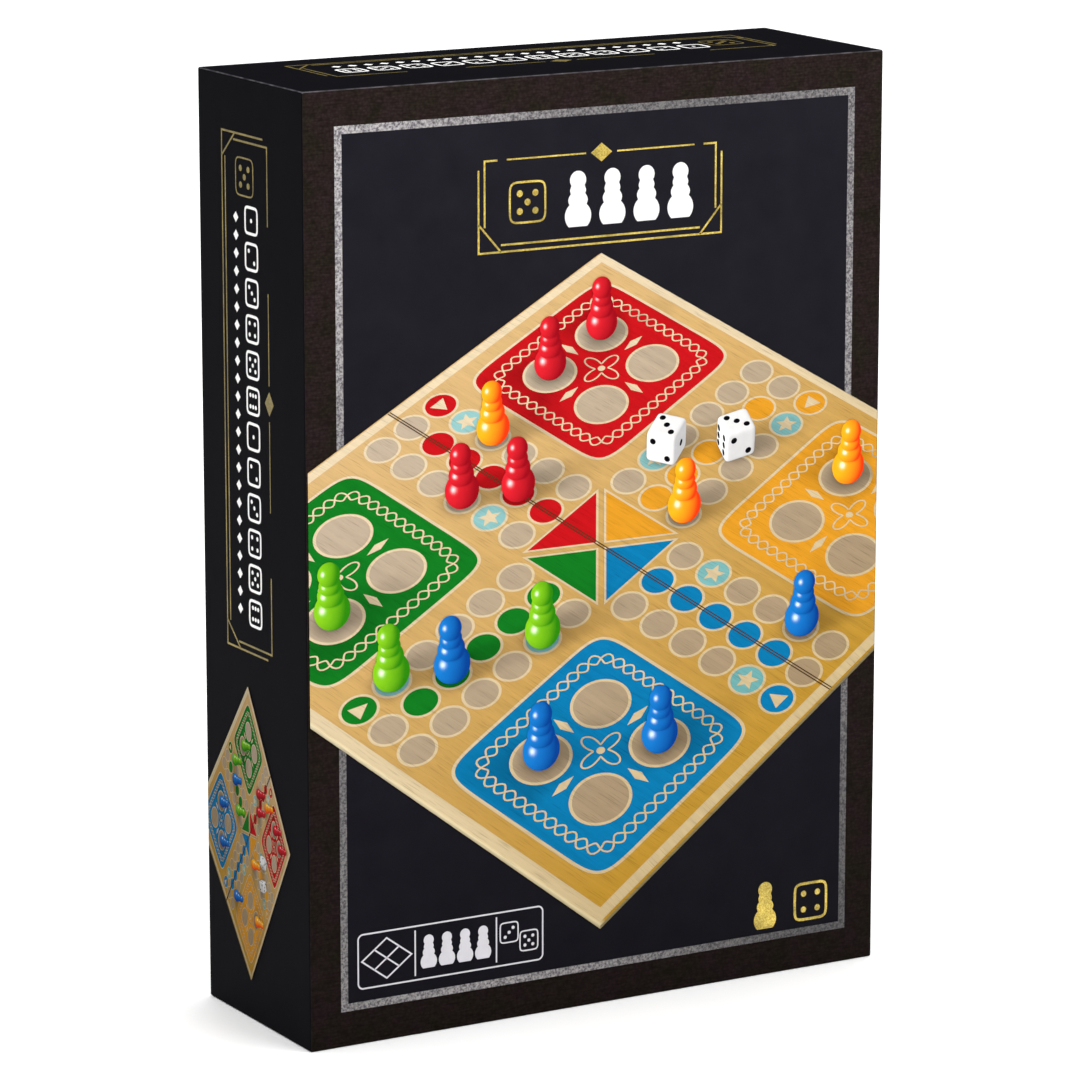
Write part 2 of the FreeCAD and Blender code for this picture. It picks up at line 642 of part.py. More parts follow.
def make_pawn(name, height):
    body = new_body(name)
    profile = new_sketch(body, f"{name}_profile")
    beads = [
        ("body", "Sizes.body_radius - Sizes.body_curve", "Sizes.body_rise", "Sizes.body_curve"),
        (
            "collar", "Sizes.collar_radius - Sizes.collar_curve", "Layout.collar_height",
            "Sizes.collar_curve",
        ),
        ("neck", "Sizes.neck_radius - Sizes.neck_curve", "Layout.neck_height", "Sizes.neck_curve"),
        ("head", "0", "Layout.head_height", "Sizes.head_radius"),
    ]
    centres = [Vector(value(across), value(up)) for _, across, up, _ in beads]
    curves = [value(curve) for _, _, _, curve in beads]

    # Where one bead meets the next, on the outer side of both circles.
    joins = [Vector(centres[0].x + (curves[0] ** 2 - centres[0].y ** 2) ** 0.5, 0)]
    for lower, upper, below, above in zip(centres, centres[1:], curves, curves[1:]):
        along = upper - lower
        span = along.Length
        reach = (below ** 2 - above ** 2 + span ** 2) / (2 * span)
        aside = (below ** 2 - reach ** 2) ** 0.5
        joins.append(lower + along * (reach / span) + Vector(along.y, -along.x) * (aside / span))
    joins.append(Vector(0, value("Layout.pawn_height")))

    arcs = []
    for centre, curve, start, stop in zip(centres, curves, joins, joins[1:]):
        first = (start - centre).getAngle(Vector(1, 0)) * (1 if start.y >= centre.y else -1)
        last = (stop - centre).getAngle(Vector(1, 0)) * (1 if stop.y >= centre.y else -1)
        circle = Part.Circle(centre, Vector(0, 0, 1), curve)
        arcs.append(profile.addGeometry(Part.ArcOfCircle(circle, first, last), False))
    for (bead, across, up, curve), arc in zip(beads, arcs):
        add_datum(profile, f"{bead}_across", "DistanceX", (-1, 1, arc, 3), across)
        add_datum(profile, f"{bead}_up", "DistanceY", (-1, 1, arc, 3), up)
        add_datum(profile, f"{bead}_curve", "Radius", (arc,), curve)
    for below, above in zip(arcs, arcs[1:]):
        profile.addConstraint(Sketcher.Constraint("Coincident", below, 2, above, 1))
    foot = profile.addGeometry(Part.LineSegment(Vector(0, 0), joins[0]), False)
    axis = profile.addGeometry(Part.LineSegment(joins[-1], Vector(0, 0)), False)
    profile.addConstraint(Sketcher.Constraint("Coincident", foot, 1, -1, 1))
    profile.addConstraint(Sketcher.Constraint("Horizontal", foot))
    profile.addConstraint(Sketcher.Constraint("Coincident", foot, 2, arcs[0], 1))
    profile.addConstraint(Sketcher.Constraint("Coincident", arcs[-1], 2, axis, 1))
    profile.addConstraint(Sketcher.Constraint("Coincident", axis, 2, foot, 1))
    profile.addConstraint(Sketcher.Constraint("Vertical", axis))

    turned = body.newObject("PartDesign::Revolution", f"{name}_turned")
    turned.Profile = profile
    turned.ReferenceAxis = (profile, ["V_Axis"])
    turned.Angle = 360
    body.Placement.Rotation = Rotation(Vector(0, 1, 0), 90)
    place(body, "Layout.pawn_left", "Layout.pawn_depth", height)
    keep(body, name)


for row, colour in enumerate(PAWN_COLOURS):
    for rank in range(PAWNS_EACH):
        make_pawn(
            f"pawn_{colour}_{rank + 1}",
            f"Layout.bay_bottom + {row} * Layout.trough_pitch + Sizes.seat_clear + Sizes.body_radius"
            f" + {rank} * Layout.pawn_pitch",
        )


# Dice: rounded cubes with dished pips, one above the other in their trough.

def make_die(name, height):
    cube = add_box(f"{name}_cube", "Sizes.die_edge", "Sizes.die_edge", "Sizes.die_edge")
    place(cube, "-Sizes.die_edge / 2", "-Sizes.die_edge / 2", "-Sizes.die_edge / 2")
    doc.recompute()
    rounded = doc.addObject("Part::Fillet", f"{name}_rounded")
    rounded.Base = cube
    radius = value("Sizes.die_round")
    rounded.Edges = [(edge, radius, radius) for edge in range(1, len(cube.Shape.Edges) + 1)]

    pips = []
    for count, outward, along in DIE_FACES:
        across = outward.cross(along)
        for step, (first, second) in enumerate(PIPS[count]):
            pip = doc.addObject("Part::Sphere", f"{name}_pip_{count}_{step}")
            pip.setExpression("Radius", "Sizes.pip_radius")
            shift = along * first + across * second
            pips.append(place(pip, *[
                f"{out:g} * Layout.pip_reach + {side:g} * Sizes.pip_spacing"
                for out, side in zip(outward, shift)
            ]))
    die = add_cut(name, rounded, add_fuse(f"{name}_pips", pips))
    place(die, "Layout.die_middle", "Layout.die_depth", height)
    keep(die, name)


for rank in range(DICE):
    make_die(
        f"die_{rank + 1}",
        f"Layout.bay_bottom + Sizes.seat_clear + Sizes.die_edge / 2 + {rank} * Layout.die_pitch",
    )


# Every object has to be sound before anything is written.

doc.recompute()
for item in doc.Objects:
    if "Invalid" in item.State or "Error" in item.State:
        raise RuntimeError(f"{item.Name}: {item.State}")
for node in nodes:
    if node.Shape.isNull() or not node.Shape.isValid() or not node.Shape.Solids:
        raise RuntimeError(f"{node.Label}: no sound solid")

os.makedirs("parts", exist_ok=True)
for node in nodes:
    node.Shape.exportStep(f"parts/{node.Label}.step")
    print(f"{node.Label}: {len(node.Shape.Solids)} solid(s), {node.Shape.Volume:.1f} mm3")
box_size = [value(f"Layout.{name}") for name in ("lid_width", "box_depth", "lid_height")]
print("box {:.1f} x {:.1f} x {:.1f} mm".format(*box_size))
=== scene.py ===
# %% [markdown]
# # A ludo game in its box
#
# The object is a rigid game box: a lid pulled over a base, both of greyboard wrapped in paper. Inside are a
# moulded tray, a folding wooden board, turned pawns, dice and a leaflet. The solids come from the CAD model
# at their real size, so this lesson only dresses them: it finishes every surface, and it prints the paper,
# the board and the leaflet.

import functools
import itertools
import json
import math

import bmesh
import bpy
import numpy as np
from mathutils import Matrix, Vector


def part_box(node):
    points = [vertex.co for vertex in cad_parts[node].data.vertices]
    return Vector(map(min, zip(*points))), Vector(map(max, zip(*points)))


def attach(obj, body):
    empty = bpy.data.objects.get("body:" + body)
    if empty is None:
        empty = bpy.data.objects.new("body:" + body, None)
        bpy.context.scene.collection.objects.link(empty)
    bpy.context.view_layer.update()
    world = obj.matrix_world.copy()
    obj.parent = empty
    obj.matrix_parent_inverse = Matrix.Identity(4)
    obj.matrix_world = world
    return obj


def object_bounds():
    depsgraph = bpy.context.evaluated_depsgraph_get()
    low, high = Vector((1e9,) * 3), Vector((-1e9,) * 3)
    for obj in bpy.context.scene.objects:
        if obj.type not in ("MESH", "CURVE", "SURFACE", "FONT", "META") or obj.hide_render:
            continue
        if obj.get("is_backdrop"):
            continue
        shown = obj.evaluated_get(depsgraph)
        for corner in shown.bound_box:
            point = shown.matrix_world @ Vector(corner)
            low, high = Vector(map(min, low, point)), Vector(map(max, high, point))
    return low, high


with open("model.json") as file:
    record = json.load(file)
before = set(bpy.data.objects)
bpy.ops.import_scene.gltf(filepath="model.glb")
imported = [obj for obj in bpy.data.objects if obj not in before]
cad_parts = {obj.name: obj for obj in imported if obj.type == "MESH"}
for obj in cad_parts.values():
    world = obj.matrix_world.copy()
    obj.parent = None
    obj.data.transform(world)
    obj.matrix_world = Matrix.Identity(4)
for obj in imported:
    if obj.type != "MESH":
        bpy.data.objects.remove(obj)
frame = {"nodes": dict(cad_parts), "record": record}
cad_low, cad_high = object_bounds()
MM = 0.001
print("box in mm:", [round(side / MM, 2) for side in cad_high - cad_low])

# %% [markdown]
# ## Camera
#
# The photograph was taken from far away with a long lens, which keeps the box's edges nearly parallel.
# Blender could aim a camera with a constraint, but a place and two angles are plainer: they were solved from
# the seven corners of the box that the photograph shows.

# %% Camera
EYE = Vector((-735.73, -1271.02, 447.65)) * MM
EYE_TURN = 30.017
EYE_DROP = 12.240
LENS = 175.89
SENSOR = 36.0

scene = bpy.context.scene
camera = bpy.data.objects.new("camera", bpy.data.cameras.new("camera"))
camera.data.lens = LENS
camera.data.sensor_width = SENSOR
camera.location = EYE
camera.rotation_euler = (math.radians(90 - EYE_DROP), 0, math.radians(-EYE_TURN))
scene.collection.objects.link(camera)
scene.camera = camera
scene.view_settings.view_transform = "Standard"
print("camera", round(EYE.length, 2), "m from the foot of the box")

# %% [markdown]
# ## Nodes and colours
#
# Every finish below is a small graph of shader nodes. Adding a node takes the same steps each time: make it,
# set its options and fill its sockets. So one function does that for every kind, and hands back the output
# that the next node reads. Colours are written as the hex values that a designer reads off a screen. The
# shader wants linear light, so another function converts them.

# %% Helpers for materials
# A node that mixes two colours takes them in its inputs 6 and 7 and gives the mix in its output 2.
MIX = {"out": 2, "data_type": "RGBA"}


def linear(code):
    """Linear red, green and blue of an sRGB hex colour: the curve's straight foot, then the power of 2.4."""
    srgb = np.array([int(code[start:start + 2], 16) for start in (1, 3, 5)]) / 255
    return np.where(srgb <= 0.04045, srgb / 12.92, ((srgb + 0.055) / 1.055) ** 2.4)


def rgba(code):
    """Linear colour of a hex code with full opacity, as colour sockets want it."""
    return (*linear(code), 1.0)


def fill(target, sockets):
    """Fill a node's named or numbered sockets: another node's output is linked, and a value is set."""
    for socket, source in sockets.items():
        if isinstance(source, bpy.types.NodeSocket):
            target.id_data.links.new(source, target.inputs[socket])
        else:
            target.inputs[socket].default_value = source


def add_node(tree, kind, sockets=None, out=0, stops=(), **options):
    """Add one node, set its options, its colour stops and its sockets, and hand back one of its outputs."""
    added = tree.nodes.new(f"ShaderNode{kind}")
    for option, choice in options.items():
        setattr(added, option, choice)
    for count, (place, code) in enumerate(stops):
        added.color_ramp.elements[count].position = place
        added.color_ramp.elements[count].color = rgba(code)
    fill(added, sockets or {})
    return added.outputs[out]


def new_material(name, **values):
    """Material, a function that adds a node to it, and its Principled shader with uniform values set."""
    material = bpy.data.materials.new(name)
    material.use_nodes = True
    shader = material.node_tree.nodes["Principled BSDF"]
    for socket, amount in values.items():
        shader.inputs[socket.replace("_", " ").title().replace("Ior", "IOR")].default_value = amount
    return material, functools.partial(add_node, material.node_tree), shader


print("navy in linear light:", linear("#1e1f26").round(4))

# %% [markdown]
# ## Stage
#
# A product shot stands on a pale sweep under large soft lamps. One small lamp would be quicker, but its hard
# shadow and small glint don't suit satin paper. Three square lamps light the sides, and a sun as broad as an
# overcast sky lights the top and the floor. The world adds only a little light, so the dark paper keeps its
# depth, and it shows white behind the floor.

# %% Floor
FLOOR_SIDE = 16.0
FLOOR_DROP = 0.05 * MM
FLOOR_CLOUD = 400 * MM

corners = np.array([(-1, -1), (1, -1), (1, 1), (-1, 1)]) * FLOOR_SIDE / 2
floor_mesh = bpy.data.meshes.new("floor")
floor_mesh.from_pydata([(x, y, -FLOOR_DROP) for x, y in corners], [], [(0, 1, 2, 3)])
floor = bpy.data.objects.new("floor", floor_mesh)
scene.collection.objects.link(floor)
floor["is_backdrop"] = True
paint, node, shader = new_material("matt_white_paint", roughness=0.9, specular_IOR_level=0.1)
place = node("TexCoord", out="Object")
clouds = node("TexNoise", {"Vector": place, "Scale": 1 / FLOOR_CLOUD, "Detail": 2.0})
fill(shader, {"Base Color": node("ValToRGB", {0: clouds}, stops=[(0, "#fafafa"), (1, "#ffffff")])})
floor_mesh.materials.append(paint)
print("floor", FLOOR_SIDE, "m wide")

# %% World and lamps
HORIZON_LIGHT = 0.02
ZENITH_LIGHT = 0.75
DOME_FOOT = 0.3
MIDDLE = (cad_low + cad_high) / 2
# Each square lamp: where it stands and how wide it is, in metres, and its power in watts.
LAMPS = {
    "key": ((0.55, -1.0, 1.15), 0.8, 8.0),
    "left": ((-1.5, -0.6, 0.9), 1.0, 4.0),
    "back": ((0.9, 1.5, 1.4), 1.2, 9.0),
}
SUN_STRENGTH = 2.6
SUN_BREADTH = math.radians(100)

world = bpy.data.worlds.new("studio")
world.use_nodes = True
node = functools.partial(add_node, world.node_tree)
rise = node("SeparateXYZ", {0: node("TexCoord", out="Generated")}, out="Z")
dome = node("MapRange", {
    "Value": rise, "From Min": DOME_FOOT, "To Min": HORIZON_LIGHT, "To Max": ZENITH_LIGHT})
seen = node("LightPath", out="Is Camera Ray")
glow = node("MapRange", {"Value": seen, "To Min": dome, "To Max": 1.0})
fill(world.node_tree.nodes["Background"], {"Color": rgba("#ffffff"), "Strength": glow})
scene.world = world

for name, (place, side, power) in LAMPS.items():
    lamp = bpy.data.objects.new(name, bpy.data.lights.new(name, "AREA"))
    lamp.data.size = side
    lamp.data.energy = power
    lamp.location = place
    lamp.rotation_euler = (MIDDLE - lamp.location).to_track_quat("-Z", "Y").to_euler()
    lamp.visible_glossy = name != "back"
    scene.collection.objects.link(lamp)
overhead = bpy.data.objects.new("overhead", bpy.data.lights.new("overhead", "SUN"))
overhead.data.energy = SUN_STRENGTH
overhead.data.angle = SUN_BREADTH
scene.collection.objects.link(overhead)
print("lamps:", ", ".join(LAMPS), "and overhead")

# %% [markdown]
# ## Leather, as printed
#
# The front of the lid has a border printed like dark leather. A photograph of leather would be the usual way.
# Here noise is enough: round pebbles, fine wrinkles drawn out along the width, and slow patches of red and
# olive brown. It is only ink, so it has colour and no relief.

# %% Leather
GRAIN = 0.9 * MM
HIDE_PATCH = 8.0 * MM
WRINKLE_LONG = 4.0 * MM
WRINKLE_WIDE = 0.5 * MM


def printed_leather(node, place):
    """Colour of patches, multiplied by pebbles that darken towards their rims and by the wrinkles."""
    pebbles = node("TexVoronoi", {"Vector": place, "Scale": 1 / GRAIN}, feature="F1")
    drawn_out = node("Mapping", {"Vector": place, "Scale": (1 / WRINKLE_LONG, 1, 1 / WRINKLE_WIDE)})
    wrinkles = node("TexNoise", {"Vector": drawn_out, "Scale": 1.0, "Detail": 3.0})
    patches = node("TexNoise", {"Vector": place, "Scale": 1 / HIDE_PATCH, "Detail": 3.0})
    hide = node("ValToRGB", {0: patches}, stops=[(0.35, "#27221b"), (0.68, "#2e2224")])
    creases = node("MapRange", {"Value": pebbles, "From Max": 0.8, "To Min": 1.22, "To Max": 0.68})
    lines = node("MapRange", {
        "Value": wrinkles, "From Min": 0.3, "From Max": 0.7, "To Min": 0.7, "To Max": 1.3})
    shade = node("Math", {0: creases, 1: lines}, operation="MULTIPLY")
    return node("VectorMath", {"Vector": hide, "Scale": shade}, operation="SCALE")


print("leather pebbles", GRAIN / MM, "mm, patches", HIDE_PATCH / MM, "mm")

# %% [markdown]
# ## Wear along the folds
#
# Where the wrap goes round an edge of the greyboard, its film cracks and the paper shows a little paler. The
# pale line is strongest on the upper folds, and there it is also a painted highlight: the shine of light from
# above on the edge. Blender's Pointiness finds edges too, but it depends on how the mesh is divided. A fold
# is easier to know by its normal, which points along no axis.

# %% Folds
SCUFF = 3.0 * MM


def fold_wear_and_highlight(node, place, facing):
    """Share of pale paper, partly wear and partly painted highlight: how far a fold leans off the axes, times
    scuffs, and most where it faces up, towards the light.
    """
    flat = 0.0
    for axis in "XYZ":
        leaning = node("Math", {0: facing[axis]}, operation="ABSOLUTE")
        flat = node("Math", {0: flat, 1: leaning}, operation="MAXIMUM")
    fold = node("MapRange", {"Value": flat, "From Min": 0.97, "From Max": 0.8})
    scuffs = node("TexNoise", {"Vector": place, "Scale": 1 / SCUFF, "Detail": 4.0})
    scuffs = node("MapRange", {
        "Value": scuffs, "From Min": 0.35, "From Max": 0.7, "To Min": 0.15, "To Max": 0.75})
    lit_from_above = node("MapRange", {"Value": facing["Z"], "From Max": 0.5, "To Min": 0.04})
    wear_and_highlight = node("Math", {0: fold, 1: scuffs}, operation="MULTIPLY")
    return node("Math", {0: wear_and_highlight, 1: lit_from_above}, operation="MULTIPLY")


print("scuffs", SCUFF / MM, "mm wide")

# %% [markdown]
# ## Laminated paper of the lid
#
# The lid's wrap is coated paper, printed and laminated with a satin film. Its front has the leather border
# round a navy panel, and its walls are plain near-black. One image would be the usual way to print it. Here
# the large zones are worked out from the place on the paper instead, which stays sharp at any size, and finer
# print is laid on later as its own pieces.

# %% Laminated paper
LID_LOW, LID_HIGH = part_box("lid_wrap")
FRAME_HALF_WIDTH = 82.0 * MM
FRAME_MIDDLE = 133.5 * MM
FRAME_HALF_HEIGHT = 122.3 * MM
FACING_FRONT = -0.7
SOLID_MOTTLE = 9.0 * MM
# How much of its colour the front keeps at its foot and at its top: painted shade from a lamp above.
PAINTED_LIGHT_AT_FOOT = 0.5
PAINTED_LIGHT_AT_TOP = 0.95
# Real fibres are about ten times finer: they are drawn as coarse as they need to be to show.
FIBRE = 0.25 * MM
FIBRE_RISE = 0.004 * MM


def dress(material, *names):
    """Give CAD nodes a finish in every material slot of their meshes."""
    for name in names:
        for slot in frame["nodes"][name].material_slots:
            slot.material = material


def paper_bump(node, shader, place, fibre, height):
    """Felted fibres under the film: fine noise as a bump of that height, in metres."""
    fibres = node("TexNoise", {"Vector": place, "Scale": 1 / fibre, "Detail": 3.0})
    fill(shader, {"Normal": node("Bump", {"Height": fibres, "Distance": height, "Strength": 0.5})})


def laminated_paper():
    """Satin laminate over print: a soft, weak gloss on navy, on leather and on near-black walls."""
    material, node, shader = new_material("satin_laminated_paper", roughness=0.5, specular_IOR_level=0.01)
    place = node("TexCoord", out="Object")
    axes = node("SeparateXYZ", {0: place}).node.outputs
    facing = node("SeparateXYZ", {0: node("NewGeometry", out="Normal")}).node.outputs

    # Inside the silver frame: no further from its middle than half its width and half its height.
    across = node("Math", {0: axes["X"], 1: 0.0, 2: FRAME_HALF_WIDTH}, operation="COMPARE")
    along = node("Math", {0: axes["Z"], 1: FRAME_MIDDLE, 2: FRAME_HALF_HEIGHT}, operation="COMPARE")
    in_frame = node("Math", {0: across, 1: along}, operation="MULTIPLY")
    on_front = node("Math", {0: facing["Y"], 1: FACING_FRONT}, operation="LESS_THAN")

    # Plain inks have the faint mottle of a large printed solid. The front is darker towards its foot and
    # lighter towards its top: this is painted shade, as if a lamp above lit its top more.
    solid = node("TexNoise", {"Vector": place, "Scale": 1 / SOLID_MOTTLE, "Detail": 5.0})
    navy = node("ValToRGB", {0: solid}, stops=[(0, "#1b1a21"), (1, "#25242b")])
    black = node("ValToRGB", {0: solid}, stops=[(0, "#07070b"), (1, "#0c0b10")])
    front = node("Mix", {0: in_frame, 6: printed_leather(node, place), 7: navy}, **MIX)
    painted_light_ramp = node("MapRange", {
        "Value": axes["Z"], "From Max": LID_HIGH.z, "To Min": PAINTED_LIGHT_AT_FOOT, "To Max": PAINTED_LIGHT_AT_TOP})
    front = node("VectorMath", {"Vector": front, "Scale": painted_light_ramp}, operation="SCALE")
    printed = node("Mix", {0: on_front, 6: black, 7: front}, **MIX)
    # Pale paper on the folds: worn film, and on the upper folds also a painted highlight.
    wear_and_highlight = fold_wear_and_highlight(node, place, facing)
    fill(shader, {"Base Color": node("Mix", {0: wear_and_highlight, 6: printed, 7: rgba("#6d6a6f")}, **MIX)})
    paper_bump(node, shader, place, FIBRE, FIBRE_RISE)
    return material


dress(laminated_paper(), "lid_wrap")
print("lid paper on", round((LID_HIGH - LID_LOW).x / MM, 1), "mm of front")

# %% [markdown]
# ## Plain papers and boards
#
# The base has a plain dark wrap, the shells under both wraps are greyboard, the tray stands on a folded card
# and the rules are on uncoated paper. All four are felted fibres that differ in colour and in how coarse they
# are. One function makes them: slow clouds, fine fibres and a share of flecks in another tone. Here too the
# fibres are drawn coarser than real ones, so that they show.

# %% Papers and boards
# Matt dyed paper, grey recycled board, kraft-white folding card and white offset paper: the dark tone, the
# pale tone and the flecks, how coarse the fibres are in millimetres, the share of flecks, the roughness and
# what is made of it.
PAPERS = [
    ("dark_wrap_paper", "#131317", "#1a1a1e", "#242428", 0.3, 0.5, 0.65, ["base_wrap"]),
    ("recycled_greyboard", "#857e74", "#a09a8f", "#5f584f", 0.35, 0.8, 0.9, ["lid_board", "base_board"]),
    ("folding_card", "#cdc3b0", "#ddd5c5", "#a4967d", 0.3, 0.6, 0.85, ["riser"]),
    ("offset_paper", "#e8e5dd", "#f4f2ec", "#d9d4c8", 0.2, 0.4, 0.8, ["rules_leaflet"]),
]
# How wide a cloud and a fleck are and how high the relief is, all in fibres.
CLOUD_WIDTH = 12
FLECK_WIDTH = 3
RELIEF = 0.1


def fibre_board(name, dark, pale, fleck, fibre, fleck_share, roughness):
    """Felted fibres: two tones in clouds, flecks where a second noise is highest, and fibres as a bump."""
    material, node, shader = new_material(name, roughness=roughness, specular_IOR_level=0.08)
    place = node("TexCoord", out="Object")
    clouds = node("TexNoise", {
        "Vector": place, "Scale": 1 / (CLOUD_WIDTH * fibre), "Detail": 6.0, "Roughness": 0.65})
    tone = node("ValToRGB", {0: clouds}, stops=[(0.3, dark), (0.7, pale)])
    specks = node("TexNoise", {"Vector": place, "Scale": 1 / (FLECK_WIDTH * fibre), "Detail": 2.0})
    share = node("MapRange", {
        "Value": specks, "From Min": 0.66, "From Max": 0.74, "To Max": fleck_share})
    fill(shader, {"Base Color": node("Mix", {0: share, 6: tone, 7: rgba(fleck)}, **MIX)})
    paper_bump(node, shader, place, fibre, RELIEF * fibre)
    return material


for name, dark, pale, fleck, coarse, share, roughness, solids in PAPERS:
    dress(fibre_board(name, dark, pale, fleck, coarse * MM, share, roughness), *solids)
print("papers and boards:", ", ".join(paper[0] for paper in PAPERS))

# %% [markdown]
# ## Moulded tray
#
# The tray is a sheet of black polystyrene, heated and sucked down over a mould, so its corners are round and
# its surface has a faint orange peel. The CAD tray has sharp corners. A Weld modifier joins its loose
# triangles and a Bevel rounds its edges, which leaves the CAD mesh itself as it is.

# %% Tray
TRAY_ROUND = 0.55 * MM
TRAY_WELD = 0.001 * MM
PEEL = 1.4 * MM
PEEL_RISE = 0.03 * MM
FLOW_MARK = 25.0 * MM


def polystyrene():
    """Black sheet with a satin gloss that varies with faint flow marks, and a fine orange peel."""
    material, node, shader = new_material("thermoformed_polystyrene", IOR=1.59)
    place = node("TexCoord", out="Object")
    peel = node("TexNoise", {"Vector": place, "Scale": 1 / PEEL, "Detail": 3.0})
    clouds = node("TexNoise", {"Vector": place, "Scale": 1 / FLOW_MARK, "Detail": 4.0})
    fill(shader, {
        "Base Color": node("ValToRGB", {0: clouds}, stops=[(0, "#101012"), (1, "#1d1d20")]),
        "Roughness": node("MapRange", {"Value": clouds, "To Min": 0.3, "To Max": 0.48}),
        "Normal": node("Bump", {"Height": peel, "Distance": PEEL_RISE, "Strength": 0.4})})
    return material


dress(polystyrene(), "tray")
tray = frame["nodes"]["tray"]
tray.modifiers.new("weld", "WELD").merge_threshold = TRAY_WELD
bevel = tray.modifiers.new("round", "BEVEL")
bevel.width = TRAY_ROUND
bevel.segments = 3
bevel.limit_method = "ANGLE"
bevel.use_clamp_overlap = True
print("tray rounded by", TRAY_ROUND / MM, "mm")

# %% [markdown]
# ## Wood of the board
#
# The board's halves are pale oak veneer under a satin lacquer. Oak has fine straight pores that run with the
# grain and broad bands of slower and faster growth. A wave texture makes rings that look drawn, so the grain
# here is noise that is stretched along the boards: bands a few millimetres wide, and pores a third of a
# millimetre wide. The same grain shows through the inks that are printed on it, so it is a helper of its own.

# %% Wood
BAND = 3.2 * MM
BAND_LONG = 110 * MM
PORE = 0.32 * MM
PORE_LONG = 12 * MM
PORE_SHARE = 0.45
PORE_DEPTH = 0.03 * MM


def oak_grain(node, place):
    """Bands and pores, each from 0 to 1: noise that is stretched along the second axis of the pattern."""
    streaks = []
    for width, length, detail in [(BAND, BAND_LONG, 3.0), (PORE, PORE_LONG, 2.0)]:
        drawn_out = node("Mapping", {"Vector": place, "Scale": (1 / width, 1 / length, 1 / width)})
        streaks.append(node("TexNoise", {
            "Vector": drawn_out, "Scale": 1.0, "Detail": detail, "Distortion": 0.2}))
    return streaks[0], node("MapRange", {"Value": streaks[1], "From Min": 0.56, "From Max": 0.72})


def oak_veneer():
    """Lacquered oak: honey bands, darker pores that are slightly sunk, and a satin coat."""
    material, node, shader = new_material(
        "lacquered_oak_veneer", roughness=0.45, coat_weight=0.35, coat_roughness=0.25)
    place = node("TexCoord", out="Object")
    upright = node("Mapping", {"Vector": place, "Rotation": (math.radians(-90), 0, 0)})
    bands, pores = oak_grain(node, upright)
    tone = node("ValToRGB", {0: bands}, stops=[(0.3, "#bf9650"), (0.72, "#deba80")])
    share = node("Math", {0: pores, 1: PORE_SHARE}, operation="MULTIPLY")
    fill(shader, {
        "Base Color": node("Mix", {0: share, 6: tone, 7: rgba("#8f6a33")}, **MIX),
        "Normal": node("Bump", {"Height": pores, "Distance": PORE_DEPTH, "Strength": 0.5}, invert=True)})
    return material


dress(oak_veneer(), "board_half_front", "board_half_back")
print("grain bands", BAND / MM, "mm, pores", PORE / MM, "mm")

# %% [markdown]
# ## Brass, lacquer and dice plastic
#
# The hinges are pressed brass, tumbled to a soft shine, so fine scratches run every way. The pawns are turned
# wood dipped in coloured lacquer, which flows smooth but still lets the turning rings ripple the shine. The
# dice are tumbled plastic, clear white and glossy, and a trace of light passes into them.

# %% Brass
TARNISH = 4.0 * MM
# Tumbling leaves finer scratches: they are drawn as coarse as they need to be to show.
SCRATCH = 0.3 * MM
SCRATCH_RISE = 0.01 * MM


def tumbled_brass():
    """Warm metal whose shine varies over scratches and slight tarnish."""
    material, node, shader = new_material("tumbled_brass", metallic=1.0)
    place = node("TexCoord", out="Object")
    tarnish = node("TexNoise", {"Vector": place, "Scale": 1 / TARNISH, "Detail": 5.0})
    scratch = node("TexNoise", {"Vector": place, "Scale": 1 / SCRATCH, "Detail": 3.0})
    fill(shader, {
        "Base Color": node("ValToRGB", {0: tarnish}, stops=[(0, "#a8823a"), (1, "#e3c477")]),
        "Roughness": node("MapRange", {"Value": scratch, "To Min": 0.2, "To Max": 0.45}),
        "Normal": node("Bump", {"Height": scratch, "Distance": SCRATCH_RISE, "Strength": 0.4})})
    return material


brass_nodes = [name for name in frame["nodes"] if name.startswith("hinge")]
dress(tumbled_brass(), *brass_nodes)
print(len(brass_nodes), "brass pieces")

# %% Lacquer and dice plastic
LACQUERS = {
    "red": ("#a00b17", "#c91f2a"), "green": ("#3f8c0c", "#69b51a"),
    "yellow": ("#e07804", "#f49518"), "blue": ("#06489c", "#0c66c2"),
}
THIN_PATCH = 5.0 * MM
TURNING_RING = 0.9 * MM
ROUND_RING = 50 * MM
RING_RISE = 0.05 * MM
DICE_CLOUD = 4.0 * MM
DICE_RIPPLE = 0.8 * MM


def lacquered_wood(name, dark, pale):
    """Coloured dip lacquer: deep gloss, paler where it runs thin, over turning rings along the X axis."""
    material, node, shader = new_material(
        name, roughness=0.32, specular_IOR_level=0.15, coat_weight=0.8, coat_roughness=0.05)
    place = node("TexCoord", out="Object")
    thin = node("TexNoise", {"Vector": place, "Scale": 1 / THIN_PATCH, "Detail": 4.0})
    along = node("Mapping", {
        "Vector": place, "Scale": (1 / TURNING_RING, 1 / ROUND_RING, 1 / ROUND_RING)})
    rings = node("TexNoise", {"Vector": along, "Scale": 1.0, "Detail": 1.0})
    fill(shader, {
        "Base Color": node("ValToRGB", {0: thin}, stops=[(0.3, dark), (0.75, pale)]),
        "Normal": node("Bump", {"Height": rings, "Distance": RING_RISE, "Strength": 0.25})})
    return material


def dice_plastic():
    """Tumbled white acrylic: high gloss, faint cream clouds and a little depth."""
    material, node, shader = new_material(
        "tumbled_white_acrylic", roughness=0.18, IOR=1.49, subsurface_weight=0.1,
        subsurface_scale=0.6 * MM, subsurface_radius=(1.0, 0.95, 0.9))
    place = node("TexCoord", out="Object")
    clouds = node("TexNoise", {"Vector": place, "Scale": 1 / DICE_CLOUD, "Detail": 3.0})
    fill(shader, {"Base Color": node("ValToRGB", {0: clouds}, stops=[(0, "#e6e3da"), (1, "#f7f6f2")])})
    paper_bump(node, shader, place, DICE_RIPPLE, FIBRE_RISE)
    return material


